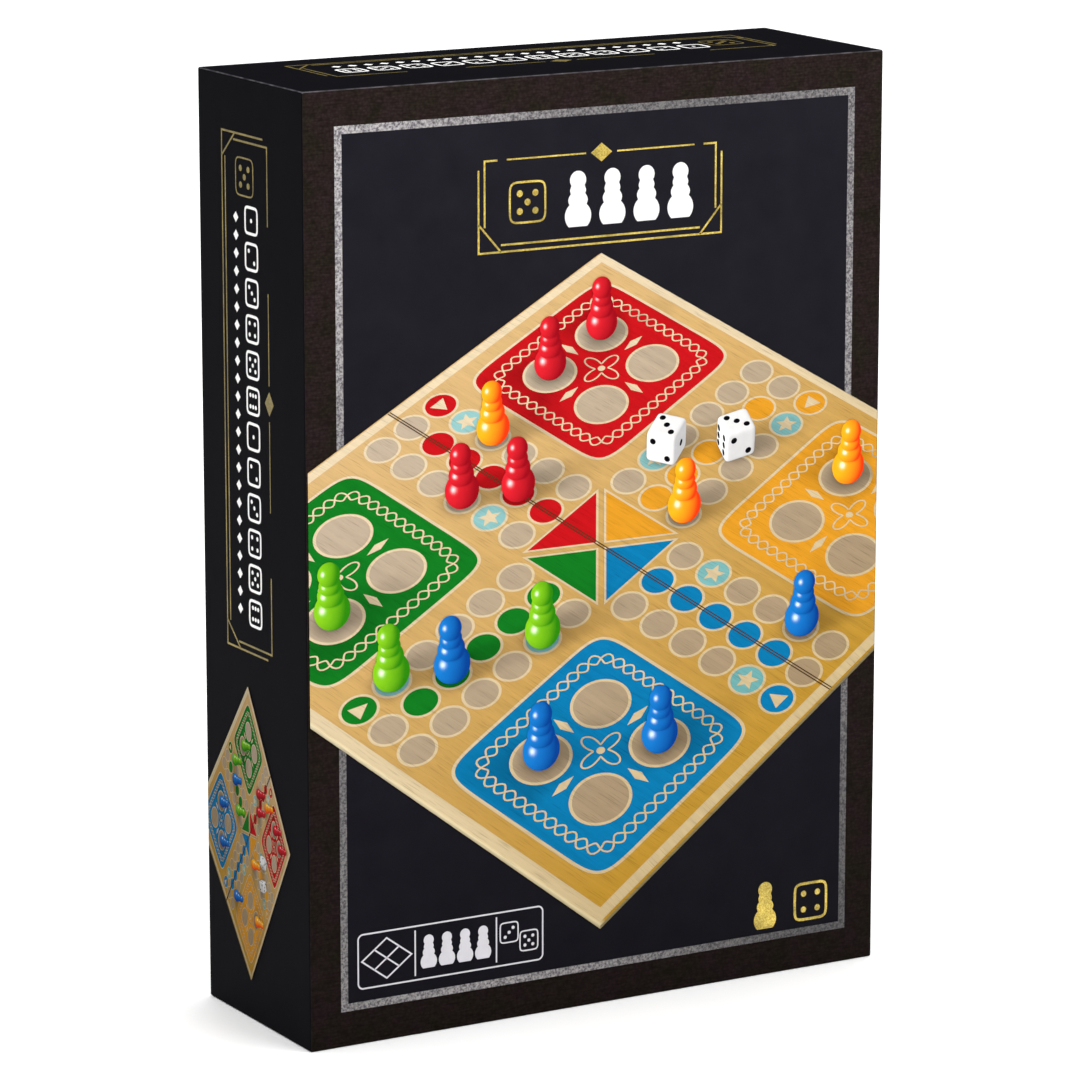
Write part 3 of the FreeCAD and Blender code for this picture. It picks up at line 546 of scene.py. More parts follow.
for colour, tones in LACQUERS.items():
    dress(lacquered_wood(f"{colour}_lacquer", *tones), *[f"pawn_{colour}_{rank}" for rank in range(1, 5)])
dress(dice_plastic(), "die_1", "die_2")
print(len(LACQUERS), "lacquers, and the plastic of the dice")

# %% [markdown]
# ## Surfaces from grids
#
# Everything from here on is new: ink on paper and ink on wood. Each shape is a grid of points, worked out as
# one array: rows run one way over the surface, columns the other, and each cell of the grid is a face. Where
# a row shrinks to a point or a column comes back to its start, the doubled points are merged, so every shape
# ends up closed. One function turns any list of such grids into a piece and sets it on its body.

# %% From grids to pieces
MERGE = 1e-7


def close_up(mesh, trims):
    """Merge doubled points, cut the mesh off at planes, each a point and the way off, and fill the cuts."""
    shape = bmesh.new()
    shape.from_mesh(mesh)
    bmesh.ops.remove_doubles(shape, verts=shape.verts, dist=MERGE)
    for point, off in trims:
        everything = shape.verts[:] + shape.edges[:] + shape.faces[:]
        cut = bmesh.ops.bisect_plane(
            shape, geom=everything, plane_co=point, plane_no=off, clear_outer=True)
        rim = [edge for edge in cut["geom_cut"] if isinstance(edge, bmesh.types.BMEdge)]
        bmesh.ops.holes_fill(shape, edges=rim)
    shape.to_mesh(mesh)
    shape.free()


def put_piece(name, body, material, shapes, trims=()):
    """Join grids of points, in metres, into one piece. A shape is its grid, its colour, which is one for all
    or one for each point, and a grid of pattern places or None."""
    points, colours, places, faces = [], [], [], []
    first = 0
    for grid, colour, place in shapes:
        rows, columns = grid.shape[:2]
        cell = first + np.arange(rows * columns).reshape(rows, columns)
        loop = [cell[:-1, :-1], cell[1:, :-1], cell[1:, 1:], cell[:-1, 1:]]
        faces.append(np.stack(loop, -1).reshape(-1, 4))
        points.append(grid.reshape(-1, 3))
        colours.append(np.broadcast_to(colour, (rows, columns, 3)).reshape(-1, 3))
        places.append(np.zeros((rows * columns, 2)) if place is None else place.reshape(-1, 2))
        first += rows * columns
    mesh = bpy.data.meshes.new(name)
    mesh.from_pydata(np.concatenate(points).tolist(), [], np.concatenate(faces).tolist())
    ink = np.column_stack([np.concatenate(colours), np.ones(first)])
    mesh.attributes.new("ink", "FLOAT_COLOR", "POINT").data.foreach_set("color", ink.ravel())
    corner = np.empty(len(mesh.loops), int)
    mesh.loops.foreach_get("vertex_index", corner)
    mesh.uv_layers.new(name="place").data.foreach_set("uv", np.concatenate(places)[corner].ravel())
    close_up(mesh, trims)
    mesh.materials.append(material)
    piece = bpy.data.objects.new(name, mesh)
    scene.collection.objects.link(piece)
    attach(piece, body)
    print(name, len(mesh.polygons), "faces")


print("points closer than", MERGE / MM, "mm are merged")

# %% [markdown]
# ## Coins, strokes and turned shapes
#
# Three kinds of surface are enough for all the print. A coin is a flat plate with any outline that can be
# seen whole from its middle: a disc, a rounded square, a triangle. A stroke is a strip along a path, as wide
# as it is told to be at each point, so it draws both a ruled line and the outline of a pawn. A turned shape
# is a profile swung round an axis. Ink has next to no thickness, and a film of a few hundredths of a
# millimetre is enough to lie cleanly on the paper.

# %% Coins, strokes and turned shapes
FILM = 0.03


def unit(vectors):
    """Vectors that point the same ways with a length of one."""
    return vectors / np.linalg.norm(vectors, axis=-1, keepdims=True)


def polar(radius, angle):
    """Flat points at radii and angles: the radius times the cosine, and times the sine, of the angle."""
    return np.stack([radius * np.cos(angle), radius * np.sin(angle)], -1)


def coin(outline, rings=1, top=FILM, bottom=0.0):
    """Plate with an outline: points go from the middle out to the rim on top, and back in underneath."""
    rim = np.vstack([outline, outline[:1]])
    middle = np.asarray(outline).mean(0)
    reach = np.concatenate([np.linspace(0, 1, rings + 1), [1.0, 0.0]])
    level = np.concatenate([np.full(rings + 1, top), [bottom, bottom]])
    flat = middle + reach[:, None, None] * (rim - middle)
    return np.dstack([flat, np.repeat(level[:, None], len(rim), 1)])


def stroke(path, breadth, closed=False, top=FILM, bottom=0.0):
    """Strip along a path: at each point a thin rectangle across the mean of the two directions there, widened
    at corners by one over the cosine of half the turn, and drawn to a point at open ends."""
    path = np.asarray(path, float)
    ahead = np.roll(path, -1, 0) - path
    behind = path - np.roll(path, 1, 0)
    if not closed:
        ahead[-1], behind[0] = behind[-1], ahead[0]
    ahead = unit(ahead)
    mean = unit(ahead + unit(behind))
    half = np.broadcast_to(breadth, len(path)) / 2 / (mean * ahead).sum(1)
    left = np.column_stack([-mean[:, 1], mean[:, 0]]) * half[:, None]
    sides = np.stack([path - left, path + left, path + left, path - left, path - left], 1)
    level = np.broadcast_to([top, top, bottom, bottom, top], sides.shape[:2])
    grid = np.dstack([sides, level])
    if closed:
        return np.concatenate([grid, grid[:1]])
    ends = [np.repeat(grid[row:row + 1, :4].mean(1, keepdims=True), 5, 1) for row in (0, len(grid) - 1)]
    return np.concatenate([ends[0], grid, ends[1]])


def turned(radius, height, columns):
    """Profile swung round the third axis: radius times the cosine and sine of the angle, at each height."""
    angle = np.linspace(0, 2 * np.pi, columns + 1)
    angle[-1] = 0.0
    flat = polar(radius[:, None], angle)
    return np.dstack([flat, np.repeat(height[:, None], columns + 1, 1)])


print("a plate with four corners has", coin(np.eye(4, 2)).shape, "points")

# %% [markdown]
# ## Outlines
#
# The outlines that coins and strokes follow come from formulas too. A squircle runs from a diamond through a
# circle to a square as its power grows, so one function gives the discs, the yards and the die faces.

# %% Outlines
def squircle(half, power=2.0, steps=32):
    """Closed outline between a diamond and a square: cosine and sine, each raised to two over the power."""
    ways = polar(1.0, np.arange(steps) * 2 * np.pi / steps)
    return half * np.sign(ways) * np.abs(ways) ** (2 / power)


def disc(radius, place, steps=28):
    """Circle about a place."""
    return squircle(radius, steps=steps) + place


def diamond(half, place, stretch=1.0):
    """Square on its corner, stretched sideways, about a place."""
    return squircle(half, power=1, steps=4) * (stretch, 1) + place


def rounded_box(half_along, half_across, radius, steps=8):
    """Closed outline of a box with round corners: each quarter circle is set out to its own corner."""
    ways = polar(1.0, (np.arange(4 * steps) + 0.5) * np.pi / (2 * steps))
    return np.sign(ways) * (np.array((half_along, half_across)) - radius) + radius * ways


def turn(points, degrees):
    """Turn points about the origin in the plane of their first two numbers, and keep the third."""
    cosine, sine = polar(1.0, math.radians(degrees))
    flat = points[..., :2] @ np.array([(cosine, sine), (-sine, cosine)])
    return np.concatenate([flat, points[..., 2:]], -1)


print("a disc of 28 steps makes a coin of", coin(disc(1.0, (0, 0))).shape, "points")

# %% [markdown]
# ## The pawn's outline and the die's pips
#
# A pawn is four beads stacked on one axis. Its radius at any height is the widest of four circles there, as
# in the CAD model. The printed pawns, flat and pictured, use the same outline, so they match the ones in the
# box. The pips are written down once too: opposite faces of a die add up to seven.

# %% Pawn outline and pips
PAWN_HEIGHT = 25.0
# Each bead's circle: how far out its middle is, how high its middle is, and its radius.
BEADS = np.array([(0.15, 4.8, 6.6), (1.8, 11.9, 3.2), (1.5, 16.2, 2.6), (0.0, 20.85, 4.15)])
# The heights of a flat figure crowd together at its foot and crown, as the cosines of these angles do.
FIGURE_ANGLES = np.linspace(0.02, np.pi - 0.05, num=40)
# Pips of each count, in steps from the middle, and where a die has each: the way out and one way along it.
PIPS = {
    1: [(0, 0)],
    2: [(-1, -1), (1, 1)],
    3: [(-1, -1), (0, 0), (1, 1)],
    4: [(-1, -1), (-1, 1), (1, -1), (1, 1)],
    5: [(-1, -1), (-1, 1), (0, 0), (1, -1), (1, 1)],
    6: [(-1, -1), (-1, 0), (-1, 1), (1, -1), (1, 0), (1, 1)],
}
DIE_FACES = [
    (1, (0, -1, 0), (1, 0, 0)), (6, (0, 1, 0), (1, 0, 0)), (2, (-1, 0, 0), (0, 0, 1)),
    (5, (1, 0, 0), (0, 0, 1)), (3, (0, 0, 1), (1, 0, 0)), (4, (0, 0, -1), (1, 0, 0)),
]


def pawn_radius(height):
    """Widest of the beads' circles: how far out the circle's middle is, plus the root of its radius squared
    less the square of the height above its middle."""
    out, middle, curve = BEADS.T
    inside = np.clip(curve ** 2 - (height[:, None] - middle) ** 2, 0, None)
    return np.where(inside > 0, out + np.sqrt(inside), 0).max(1)


def pawn_figure(tall, place):
    """Flat outline of a pawn about a place: a stroke up its axis, as wide as the pawn at each height."""
    level = PAWN_HEIGHT * (1 - np.cos(FIGURE_ANGLES)) / 2
    share = tall / PAWN_HEIGHT
    path = np.column_stack([np.zeros(len(level)), (level - PAWN_HEIGHT / 2) * share])
    return stroke(path + place, 2 * pawn_radius(level) * share)


print("widest pawn radius", pawn_radius(np.linspace(0, PAWN_HEIGHT, 200)).max().round(2), "mm")

# %% [markdown]
# ## Sides to print on
#
# Print is drawn flat, in millimetres, and then set on a side of the box. A side is known by two directions in
# it, chosen so that their cross product points out of the box. On the long walls the print reads along the
# wall, so its drawing is turned a quarter before it is set there.

# %% Sides
def side_of(solid, along, across):
    """Side of a node's box: its point straight out from the origin, two directions in it and the way out."""
    low, high = (np.array(corner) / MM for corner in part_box(solid))
    out = np.cross(along, across)
    return np.where(out > 0, high, low) * np.abs(out), along, across, out


def stand(grid, side, place=(0, 0)):
    """Set a drawn grid on a side, in metres: its numbers run along, across and out of it, from a place."""
    origin, *ways = side
    return (origin + (grid + (*place, 0)) @ np.array(ways, float)) * MM


def lay(shapes, side, share=1.0, angle=0.0, place=(0, 0), strength=1.0):
    """Shrink and turn drawn shapes in their own plane and set them on a side, inks as strong as told."""
    laid = []
    for grid, colour, pattern in shapes:
        flat = turn(grid * (share, share, 1), angle)
        laid.append((stand(flat, side, place), colour * strength, pattern))
    return laid


FRONT = side_of("lid_wrap", (1, 0, 0), (0, 0, 1))
LEFT = side_of("lid_wrap", (0, -1, 0), (0, 0, 1))
RIGHT = side_of("lid_wrap", (0, 1, 0), (0, 0, 1))
TOP = side_of("lid_wrap", (-1, 0, 0), (0, -1, 0))
FOOT = side_of("lid_wrap", (1, 0, 0), (0, -1, 0))
BACK = side_of("base_wrap", (-1, 0, 0), (0, 0, 1))
print("front side at", FRONT[0].round(3), "back at", BACK[0].round(3))

# %% [markdown]
# ## Inks
#
# Offset ink is thin and even, and under the laminate it shines just as the bare paper does. On the board the
# ink soaks in, so the grain of the oak shows through it. All inks read what each point of a piece stores: for
# these two it is their colour. Gold and silver are metal powder in varnish, dull metals with a fine sparkle,
# and take it as their strength.

# %% Ink on paper and on oak
INK_MOTTLE = 2.0 * MM


def printing_ink():
    """Offset ink under satin laminate: the stored colour, with the faint mottle of a printed solid."""
    material, node, shader = new_material(
        "offset_ink_under_laminate", roughness=0.5, specular_IOR_level=0.01)
    place = node("TexCoord", out="Object")
    mottle = node("TexNoise", {"Vector": place, "Scale": 1 / INK_MOTTLE, "Detail": 5.0})
    even = node("MapRange", {"Value": mottle, "To Min": 0.93, "To Max": 1.07})
    ink = node("Attribute", attribute_name="ink")
    fill(shader, {"Base Color": node("VectorMath", {"Vector": ink, "Scale": even}, operation="SCALE")})
    paper_bump(node, shader, place, FIBRE, FIBRE_RISE)
    return material


def ink_on_oak(name, **gloss):
    """Ink soaked into oak: the stored colour, darker in the pores and a little paler along some bands."""
    material, node, shader = new_material(name, **gloss)
    bands, pores = oak_grain(node, node("UVMap", uv_map="place"))
    bright = node("MapRange", {
        "Value": bands, "From Min": 0.3, "From Max": 0.7, "To Min": 0.91, "To Max": 1.05})
    sunk = node("MapRange", {"Value": pores, "To Min": 1.0, "To Max": 0.68})
    shade = node("Math", {0: bright, 1: sunk}, operation="MULTIPLY")
    ink = node("Attribute", attribute_name="ink")
    fill(shader, {"Base Color": node("VectorMath", {"Vector": ink, "Scale": shade}, operation="SCALE")})
    return material


paper_ink = printing_ink()
board_ink = ink_on_oak(
    "ink_soaked_into_oak", roughness=0.45, specular_IOR_level=0.2, coat_weight=0.2, coat_roughness=0.2)
picture_ink = ink_on_oak("oak_pictured_under_laminate", roughness=0.5, specular_IOR_level=0.01)
print("inks:", paper_ink.name, board_ink.name, picture_ink.name)

# %% Gold and silver
def metal_ink(name, dark, pale, flake, gleam, metallic):
    """Metal powder in varnish: a dull metal with sparkle painted as pale and dark flakes, in slow painted
    gleams, as strong as stored.
    """
    material, node, shader = new_material(name, metallic=metallic, roughness=0.45)
    place = node("TexCoord", out="Object")
    flakes = node("TexNoise", {"Vector": place, "Scale": 1 / flake, "Detail": 2.0, "Roughness": 0.6})
    tone = node("ValToRGB", {0: flakes}, stops=[(0.36, dark), (0.64, pale)])
    # Painted highlights: slow noise makes the metal's colour brighter and darker in gleams.
    gleams = node("TexNoise", {"Vector": place, "Scale": 1 / gleam, "Detail": 1.0})
    bright = node("MapRange", {
        "Value": gleams, "From Min": 0.3, "From Max": 0.7, "To Min": 0.65, "To Max": 1.3})
    ink = node("Attribute", attribute_name="ink")
    strength = node("VectorMath", {"Vector": ink, "Scale": bright}, operation="SCALE")
    fill(shader, {"Base Color": node("VectorMath", {0: tone, 1: strength}, operation="MULTIPLY")})
    return material


# Real flakes are under a twentieth of a millimetre: they are drawn as coarse as they need to be to show.
gold_ink = metal_ink(
    "gold_powder_ink", "#bd9a30", "#ebd76d", flake=0.4 * MM, gleam=6 * MM, metallic=0.3)
silver_ink = metal_ink(
    "silver_powder_ink", "#5f5a60", "#c6c1c1", flake=0.6 * MM, gleam=300 * MM, metallic=0.25)
print("metal inks:", gold_ink.name, silver_ink.name)

# %% [markdown]
# ## The game plan
#
# Ludo is played on a cross: four arms of three lanes lead to a home in the middle, and a yard for four pawns
# fills each corner. The plan is the same four times over, so one quarter is drawn, with its arm towards the
# bottom and its yard to the left of it, and turned for the other three. Marks that lie on others are a film
# higher.

# %% Ornaments of the plan
STAR_WAIST = 0.45


def star(radius, place):
    """Five-pointed star: ten points at two radii in turn."""
    angle = np.arange(10) * np.pi / 5 + np.pi / 2
    reach = np.where(np.arange(10) % 2 == 0, radius, STAR_WAIST * radius)
    return polar(reach, angle) + place


def rope(outline, waves, swing, steps=12):
    """Two strands that cross: points at even steps along a closed outline, moved sideways by a sine of the
    length along it, and by its opposite."""
    closed = np.vstack([outline, outline[:1]])
    length = np.append(0, np.cumsum(np.linalg.norm(np.diff(closed, axis=0), axis=1)))
    even = np.arange(steps * waves) / (steps * waves) * length[-1]
    path = np.column_stack([np.interp(even, length, closed[:, axis]) for axis in (0, 1)])
    along = unit(np.roll(path, -1, 0) - np.roll(path, 1, 0))
    wave = np.sin(2 * np.pi * even / length[-1] * waves)
    sideways = np.column_stack([-along[:, 1], along[:, 0]]) * wave[:, None]
    return [path + way * swing * sideways for way in (-1, 1)]


def rosette(mean, swing, lobes, steps=96):
    """Closed line whose radius swings about a mean by the cosine of the angle times the number of lobes."""
    angle = np.arange(steps) * 2 * np.pi / steps
    return polar(mean + swing * np.cos(lobes * angle), angle)


print("a rosette of", len(rosette(mean=2.0, swing=1.0, lobes=4)), "points")

# %% One quarter of the plan
BOARD_HALF = 125.0
CELL = 15.8
SPOT = 6.4
RING = 7.5
STAR = 0.75 * SPOT
ARM = range(2, 8)
YARD_MIDDLE = 4.55 * CELL
YARD_HALF = 41.0
YARD_POWER = 9
YARD_SPOT = 10.4
YARD_RING = YARD_SPOT + 1.2
YARD_GAP = 15.5
YARD_DOT = 1.6
INKS = {
    "wood": "#c79f5d", "cream": "#d6c19b", "stone": "#b09c82", "bark": "#4a3320", "pale": "#80b5b4",
    "red": "#c1141a", "green": "#11751f", "yellow": "#dc9726", "blue": "#0b77aa",
}
ARROW = np.array([(0, 4.0), (-3.6, -2.6), (3.6, -2.6)])
HOME = np.array([(0.0, -0.14), (-1.28, -1.42), (1.28, -1.42)]) * CELL
LEAF = np.array([(1.8, 19.5), (0, 25.0), (-1.8, 19.5), (0, 14.0)])


def quarter_plan(colour):
    """Plates of one quarter, each with its outline, its ink and its film level."""
    plates = []
    for lane, row in itertools.product((-1, 0, 1), ARM):
        place = (lane * CELL, -row * CELL)
        own = (lane == 0 and row < ARM[-1]) or (lane, row) == (-1, ARM[-1])
        safe = (lane, row) in [(1, ARM[1]), (-1, ARM[4])]
        plates.append((disc(RING, place), "cream", 1))
        plates.append((disc(SPOT, place), "pale" if safe else colour if own else "stone", 2))
        if safe:
            plates.append((star(STAR, place), "cream", 3))
    plates.append((ARROW + (-CELL, -ARM[-1] * CELL), "cream", 3))
    plates.append((HOME, colour, 2))
    yard = np.array((-YARD_MIDDLE, -YARD_MIDDLE))
    plates.append((squircle(YARD_HALF, YARD_POWER, steps=64) + yard, colour, 1))
    for way in itertools.product((-1, 1), repeat=2):
        place = yard + np.array(way) * YARD_GAP
        plates.append((disc(YARD_RING, place, steps=40), "cream", 2))
        plates.append((disc(YARD_SPOT, place, steps=40), "stone", 3))
    for angle in range(0, 360, 90):
        plates.append((turn(LEAF, angle) + yard, "cream", 2))
    plates.append((disc(YARD_DOT, yard), "cream", 2))
    return plates


print(len(quarter_plan("red")), "plates in a quarter")

# %% The whole plan
QUARTERS = ["blue", "yellow", "red", "green"]
BORDER = 4.2
BORDER_INSET = 0.6
ROPE_INSET = 7.6
ROPE_WAVES = 24
ROPE_SWING = 2.3
YARD_LINE = 1.3
FINE_LINE = 0.7
HOME_LINE = 0.9
# In films: a plate's underside for each level below it, the lowest line, and the step from line to line.
UNDERSIDE = 0.4
LOWEST_LINE = 2.2
LINE_STEP = 0.2


def game_plan(rings=1):
    """The whole plan as grids with their inks: a border, and four quarters turned by 90 degrees each. The
    lines of a quarter lie a fifth of a film apart."""
    border = np.array([(-1, -1), (1, -1), (1, 1), (-1, 1)]) * (BOARD_HALF - BORDER / 2 - BORDER_INSET)
    marks = [(stroke(border, BORDER, closed=True), "cream")]
    strands = rope(squircle(YARD_HALF - ROPE_INSET, YARD_POWER, steps=256), ROPE_WAVES, ROPE_SWING)
    lines = [(squircle(YARD_HALF, YARD_POWER, steps=96), YARD_LINE)]
    lines += [(line, FINE_LINE) for line in (*strands, rosette(mean=6.2, swing=3.3, lobes=4))]
    lines = [(line - YARD_MIDDLE, breadth) for line, breadth in lines] + [(HOME, HOME_LINE)]
    for count, colour in enumerate(QUARTERS):
        for outline, ink, level in quarter_plan(colour):
            plate = coin(turn(outline, 90 * count), rings, level * FILM, UNDERSIDE * (level - 1) * FILM)
            marks.append((plate, ink))
        for place, (line, breadth) in enumerate(lines):
            top = (LOWEST_LINE + LINE_STEP * place) * FILM
            marks.append((stroke(turn(line, 90 * count), breadth, closed=True, top=top), "cream"))
    return marks


plan = game_plan()
print(len(plan), "marks in the plan")

# %% [markdown]
# ## Print on the folding board
#
# The plan covers both halves of the board, and the fold runs through two of its arms. Splitting every disc
# would be one way. It is simpler to set the whole plan on each half, with its middle on the hinge axis, and
# to cut off along the fold what belongs to the other half.

# %% Board print
FOLD_MARGIN = 0.9
joints = {joint["name"]: joint for joint in frame["record"]["behaviour"]["joints"]}
FOLD = np.array(joints["board_fold"]["pos_m"]) / MM


def inked(marks):
    """Drawn marks in their linear colours: the pattern place of each point is where it was drawn."""
    return [(grid, linear(INKS[ink]), grid[..., :2] * MM) for grid, ink in marks]


fold_cut = [((FOLD + (FOLD_MARGIN, 0, 0)) * MM, (-1, 0, 0))]
for name, way in [("front", 1), ("back", -1)]:
    face = side_of(f"board_half_{name}", (way, 0, 0), (0, 0, 1))
    half_plan = lay(inked(plan), face, place=(way * FOLD[0], FOLD[2]))
    put_piece(f"board_print_{name}", f"board_{name}", board_ink, half_plan, fold_cut)

# %% [markdown]
# ## A picture of the game
#
# The box shows its own game: the open board seen from a corner, with pawns and dice on it. A printed picture
# is flat, and an image texture would be the usual way. This one is worked out instead, as a printmaker would
# press a carved scene: the scene is built as surfaces, seen in perspective, and pressed to the thickness of a
# sheet. A trace of its depth is kept, so nearer things still cover the things behind them. Light and shade
# are part of the picture, so they are mixed into its inks. The bare wood and the pale inks also take a
# neutral sheen across the board, which the strong inks swallow.

# %% Light of the picture
PICTURE_TURN = 45.0
PICTURE_DROP = math.radians(41.0)
LAMP = unit(np.array((-0.8, -0.35, 0.45)))
EYE_WAY = np.array((0, -math.cos(PICTURE_DROP), math.sin(PICTURE_DROP)))
GLINT = unit(LAMP + EYE_WAY)
GLINT_POWER = 80
AMBIENT = 0.25
DIRECT = 0.85
SHADOW_REACH = 26.0
SHADOW_RADIUS = 8.0
SHADOW_DEPTH = 0.6
SHADOW_LOSS = 0.75
SHADOW_HEIGHT = 0.5
# Where the pawns stand, in cells from the middle, and the dice, each with the angle that it is turned by.
PAWNS = [
    ("red", 3.6, 5.55), ("red", 5.55, 5.55), ("red", -1, 4), ("red", 0, 3),
    ("yellow", 5.55, -3.6), ("yellow", 2, -1), ("yellow", 1, 5),
    ("blue", -5.55, -3.6), ("blue", -3.6, -5.55), ("blue", -5, 0), ("blue", 1, -6),
    ("green", -5.55, 3.6), ("green", -3, -1), ("green", -6, 1),
]
DICE = [(3.3, 0.9, 20), (4.5, -0.5, 62)]
standing = np.array([pawn[1:] for pawn in PAWNS] + [die[:2] for die in DICE]) * CELL


def shadows(flat):
    """Share of light that reaches the board: each standing thing darkens a tapering band off the lamp."""
    away = -unit(LAMP[:2])
    gap = flat[..., None, :] - turn(standing, PICTURE_TURN)
    along = np.clip(gap @ away, 0, SHADOW_REACH)
    distance = np.linalg.norm(gap - along[..., None] * away, axis=-1)
    dark = SHADOW_DEPTH * (1 - SHADOW_LOSS * along / SHADOW_REACH)
    return np.prod(1 - dark * np.exp(-(distance / SHADOW_RADIUS) ** 4), axis=-1)


print(len(standing), "things stand on the pictured board")

# %% Seeing and pressing
PICTURE_SHARE = 0.815
PICTURE_EYE = 950.0
PICTURE_DEPTH = 180.0
PICTURE_LEVEL = 4 * FILM
PRESS = 0.0006
PALING = 0.04
BRIGHTEST = 0.95
TINY = 1e-9


def pictured(points, shaded, lit, level=0.0, gloss=0.0, sheen=0.0, pattern=None):
    """One surface of the scene, lit and pressed. Its ink goes from shaded to lit with the cosine to the lamp.
    It pales, and a sheen is added, from the near right to the far left. A glint is added where the surface
    faces half way from the lamp to the eye. The eye's distance divides the width and height, and a trace of
    it is left as thickness. The grain lies by the pattern place, or else by the place on the board."""
    seen = turn(points, PICTURE_TURN)
    normal = np.cross(np.gradient(seen, axis=0), np.gradient(seen, axis=1))
    length = np.linalg.norm(normal, axis=-1, keepdims=True)
    normal = np.where(length > TINY, normal / np.maximum(length, TINY), (0, 0, 1))
    right, far, up = np.moveaxis(seen, -1, 0)
    light = np.clip(AMBIENT + DIRECT * (normal @ LAMP), 0, 1)[..., None]
    painted_light_ramp = (far - right)[..., None] / PICTURE_DEPTH
    dark = np.where(points[..., 2] < SHADOW_HEIGHT, shadows(seen[..., :2]), 1)[..., None]
    shine = gloss * np.clip(normal @ GLINT, 0, None)[..., None] ** GLINT_POWER
    colour = (shaded + (lit - shaded) * light) * (1 + PALING * painted_light_ramp) + sheen * painted_light_ramp
    colour = np.clip(colour * dark + shine, 0, BRIGHTEST)

    distance = PICTURE_EYE + far * math.cos(PICTURE_DROP) - up * math.sin(PICTURE_DROP)
    share = PICTURE_SHARE * PICTURE_EYE / distance
    height = (far * math.sin(PICTURE_DROP) + up * math.cos(PICTURE_DROP)) * share
    thick = PICTURE_LEVEL + level + PRESS * (PICTURE_EYE + PICTURE_DEPTH - distance)
    pattern = points[..., :2] if pattern is None else pattern
    return np.dstack([right * share, height, thick]), colour, pattern * MM


print("the picture is seen from", PICTURE_EYE, "mm away")

# %% Pictured board
SLAB_STEPS = 100
SLAB_THICK = 2.4
SLAB_ARRIS = 0.35
HAIR = 0.01
BOARD_SHADED = 0.5
BOARD_LIT = 1.27
SHEEN = 0.08
BARE = ("wood", "cream", "stone", "pale")
FOLD_LINE = 0.45
FOLD_LINES = (-0.55, 0.55)
FOLD_REACH = BOARD_HALF - 0.5
FOLD_LEVEL = 4 * FILM


def pictured_slab():
    """Slab in fine steps: at each step along it, a loop over the top and back underneath. Both ends are drawn
    out by a hair to half the thickness, where the points of the top meet those underneath."""
    fine = np.linspace(-BOARD_HALF, BOARD_HALF, SLAB_STEPS + 1)
    across = np.concatenate([fine[::-1], fine, fine[-1:]])
    over = np.where(np.abs(fine) < BOARD_HALF, 0.0, -SLAB_ARRIS)
    level = np.concatenate([over, np.full(SLAB_STEPS + 1, -SLAB_THICK), over[:1]])
    along = np.concatenate([[-BOARD_HALF - HAIR], fine, [BOARD_HALF + HAIR]])
    grid = np.stack(np.broadcast_arrays(across, along[:, None], level), -1).copy()
    grid[[0, -1], :, 2] = -SLAB_THICK / 2
    return grid


def pictured_wood(points, tone, sheen, **looks):
    """A surface of the pictured board in one tone, or one for each point."""
    return pictured(points, BOARD_SHADED * tone, BOARD_LIT * tone, sheen=sheen, **looks)


slab = pictured_slab()
tone = np.where(slab[..., 2:] > -SLAB_ARRIS / 2, linear(INKS["wood"]), linear("#cdbf9c"))
banded = slab[..., :2] + slab[..., 2:] * (1, 0)
board_shapes = [pictured_wood(slab, tone, SHEEN, pattern=banded)]
marks = game_plan(rings=2)
for place in FOLD_LINES:
    line = stroke([(place, -FOLD_REACH), (place, FOLD_REACH)], FOLD_LINE, top=FOLD_LEVEL)
    marks.append((line, "bark"))
for grid, ink in marks:
    sheen = SHEEN if ink in BARE else 0.0
    board_shapes.append(pictured_wood(grid * (1, 1, 0), linear(INKS[ink]), sheen, level=grid[..., 2]))
print(len(board_shapes), "surfaces in the pictured board")

# %% [markdown]
# ## Pawns and dice of the picture
#
# The pictured pawns are turned from the same outline as the real ones. A die is a superellipsoid: a ball
# whose sines and cosines are raised to a small power, which fills it out to a cube with round edges. Its pips
# are plates set on the three faces that show.

# %% Pictured pawns and dice
FIGURE_INKS = {
    "red": ("#950b18", "#de222e"), "green": ("#2b820c", "#86ca1e"),
    "yellow": ("#ee3a10", "#ffb41e"), "blue": ("#083f8e", "#187acc"),
}
FIGURE_LEVEL = 5 * FILM
PAWN_GLOSS = 0.9
DIE_HALF = 6.6
DIE_POWER = 0.22
DIE_GLOSS = 0.15
DIE_PIP = 1.3
DIE_PIP_STEP = 3.3
DIE_PIP_RISE = 0.05


def pictured_pawn(colour, across, along):
    """A pawn turned about its axis, from its crown down to the middle of its foot."""
    level = np.linspace(PAWN_HEIGHT, 0, num=64)
    radius = np.append(pawn_radius(level), 0.0)
    radius[0] = 0.0
    grid = turned(radius, np.append(level, 0.0), columns=44) + (across * CELL, along * CELL, 0)
    shaded, lit = FIGURE_INKS[colour]
    return pictured(grid, linear(shaded), linear(lit), FIGURE_LEVEL, PAWN_GLOSS)


def filled_out(wave):
    """Sine or cosine raised to a small power with its sign kept, and zero where it is next to zero."""
    return np.sign(wave) * np.abs(np.where(np.abs(wave) < TINY, 0, wave)) ** DIE_POWER


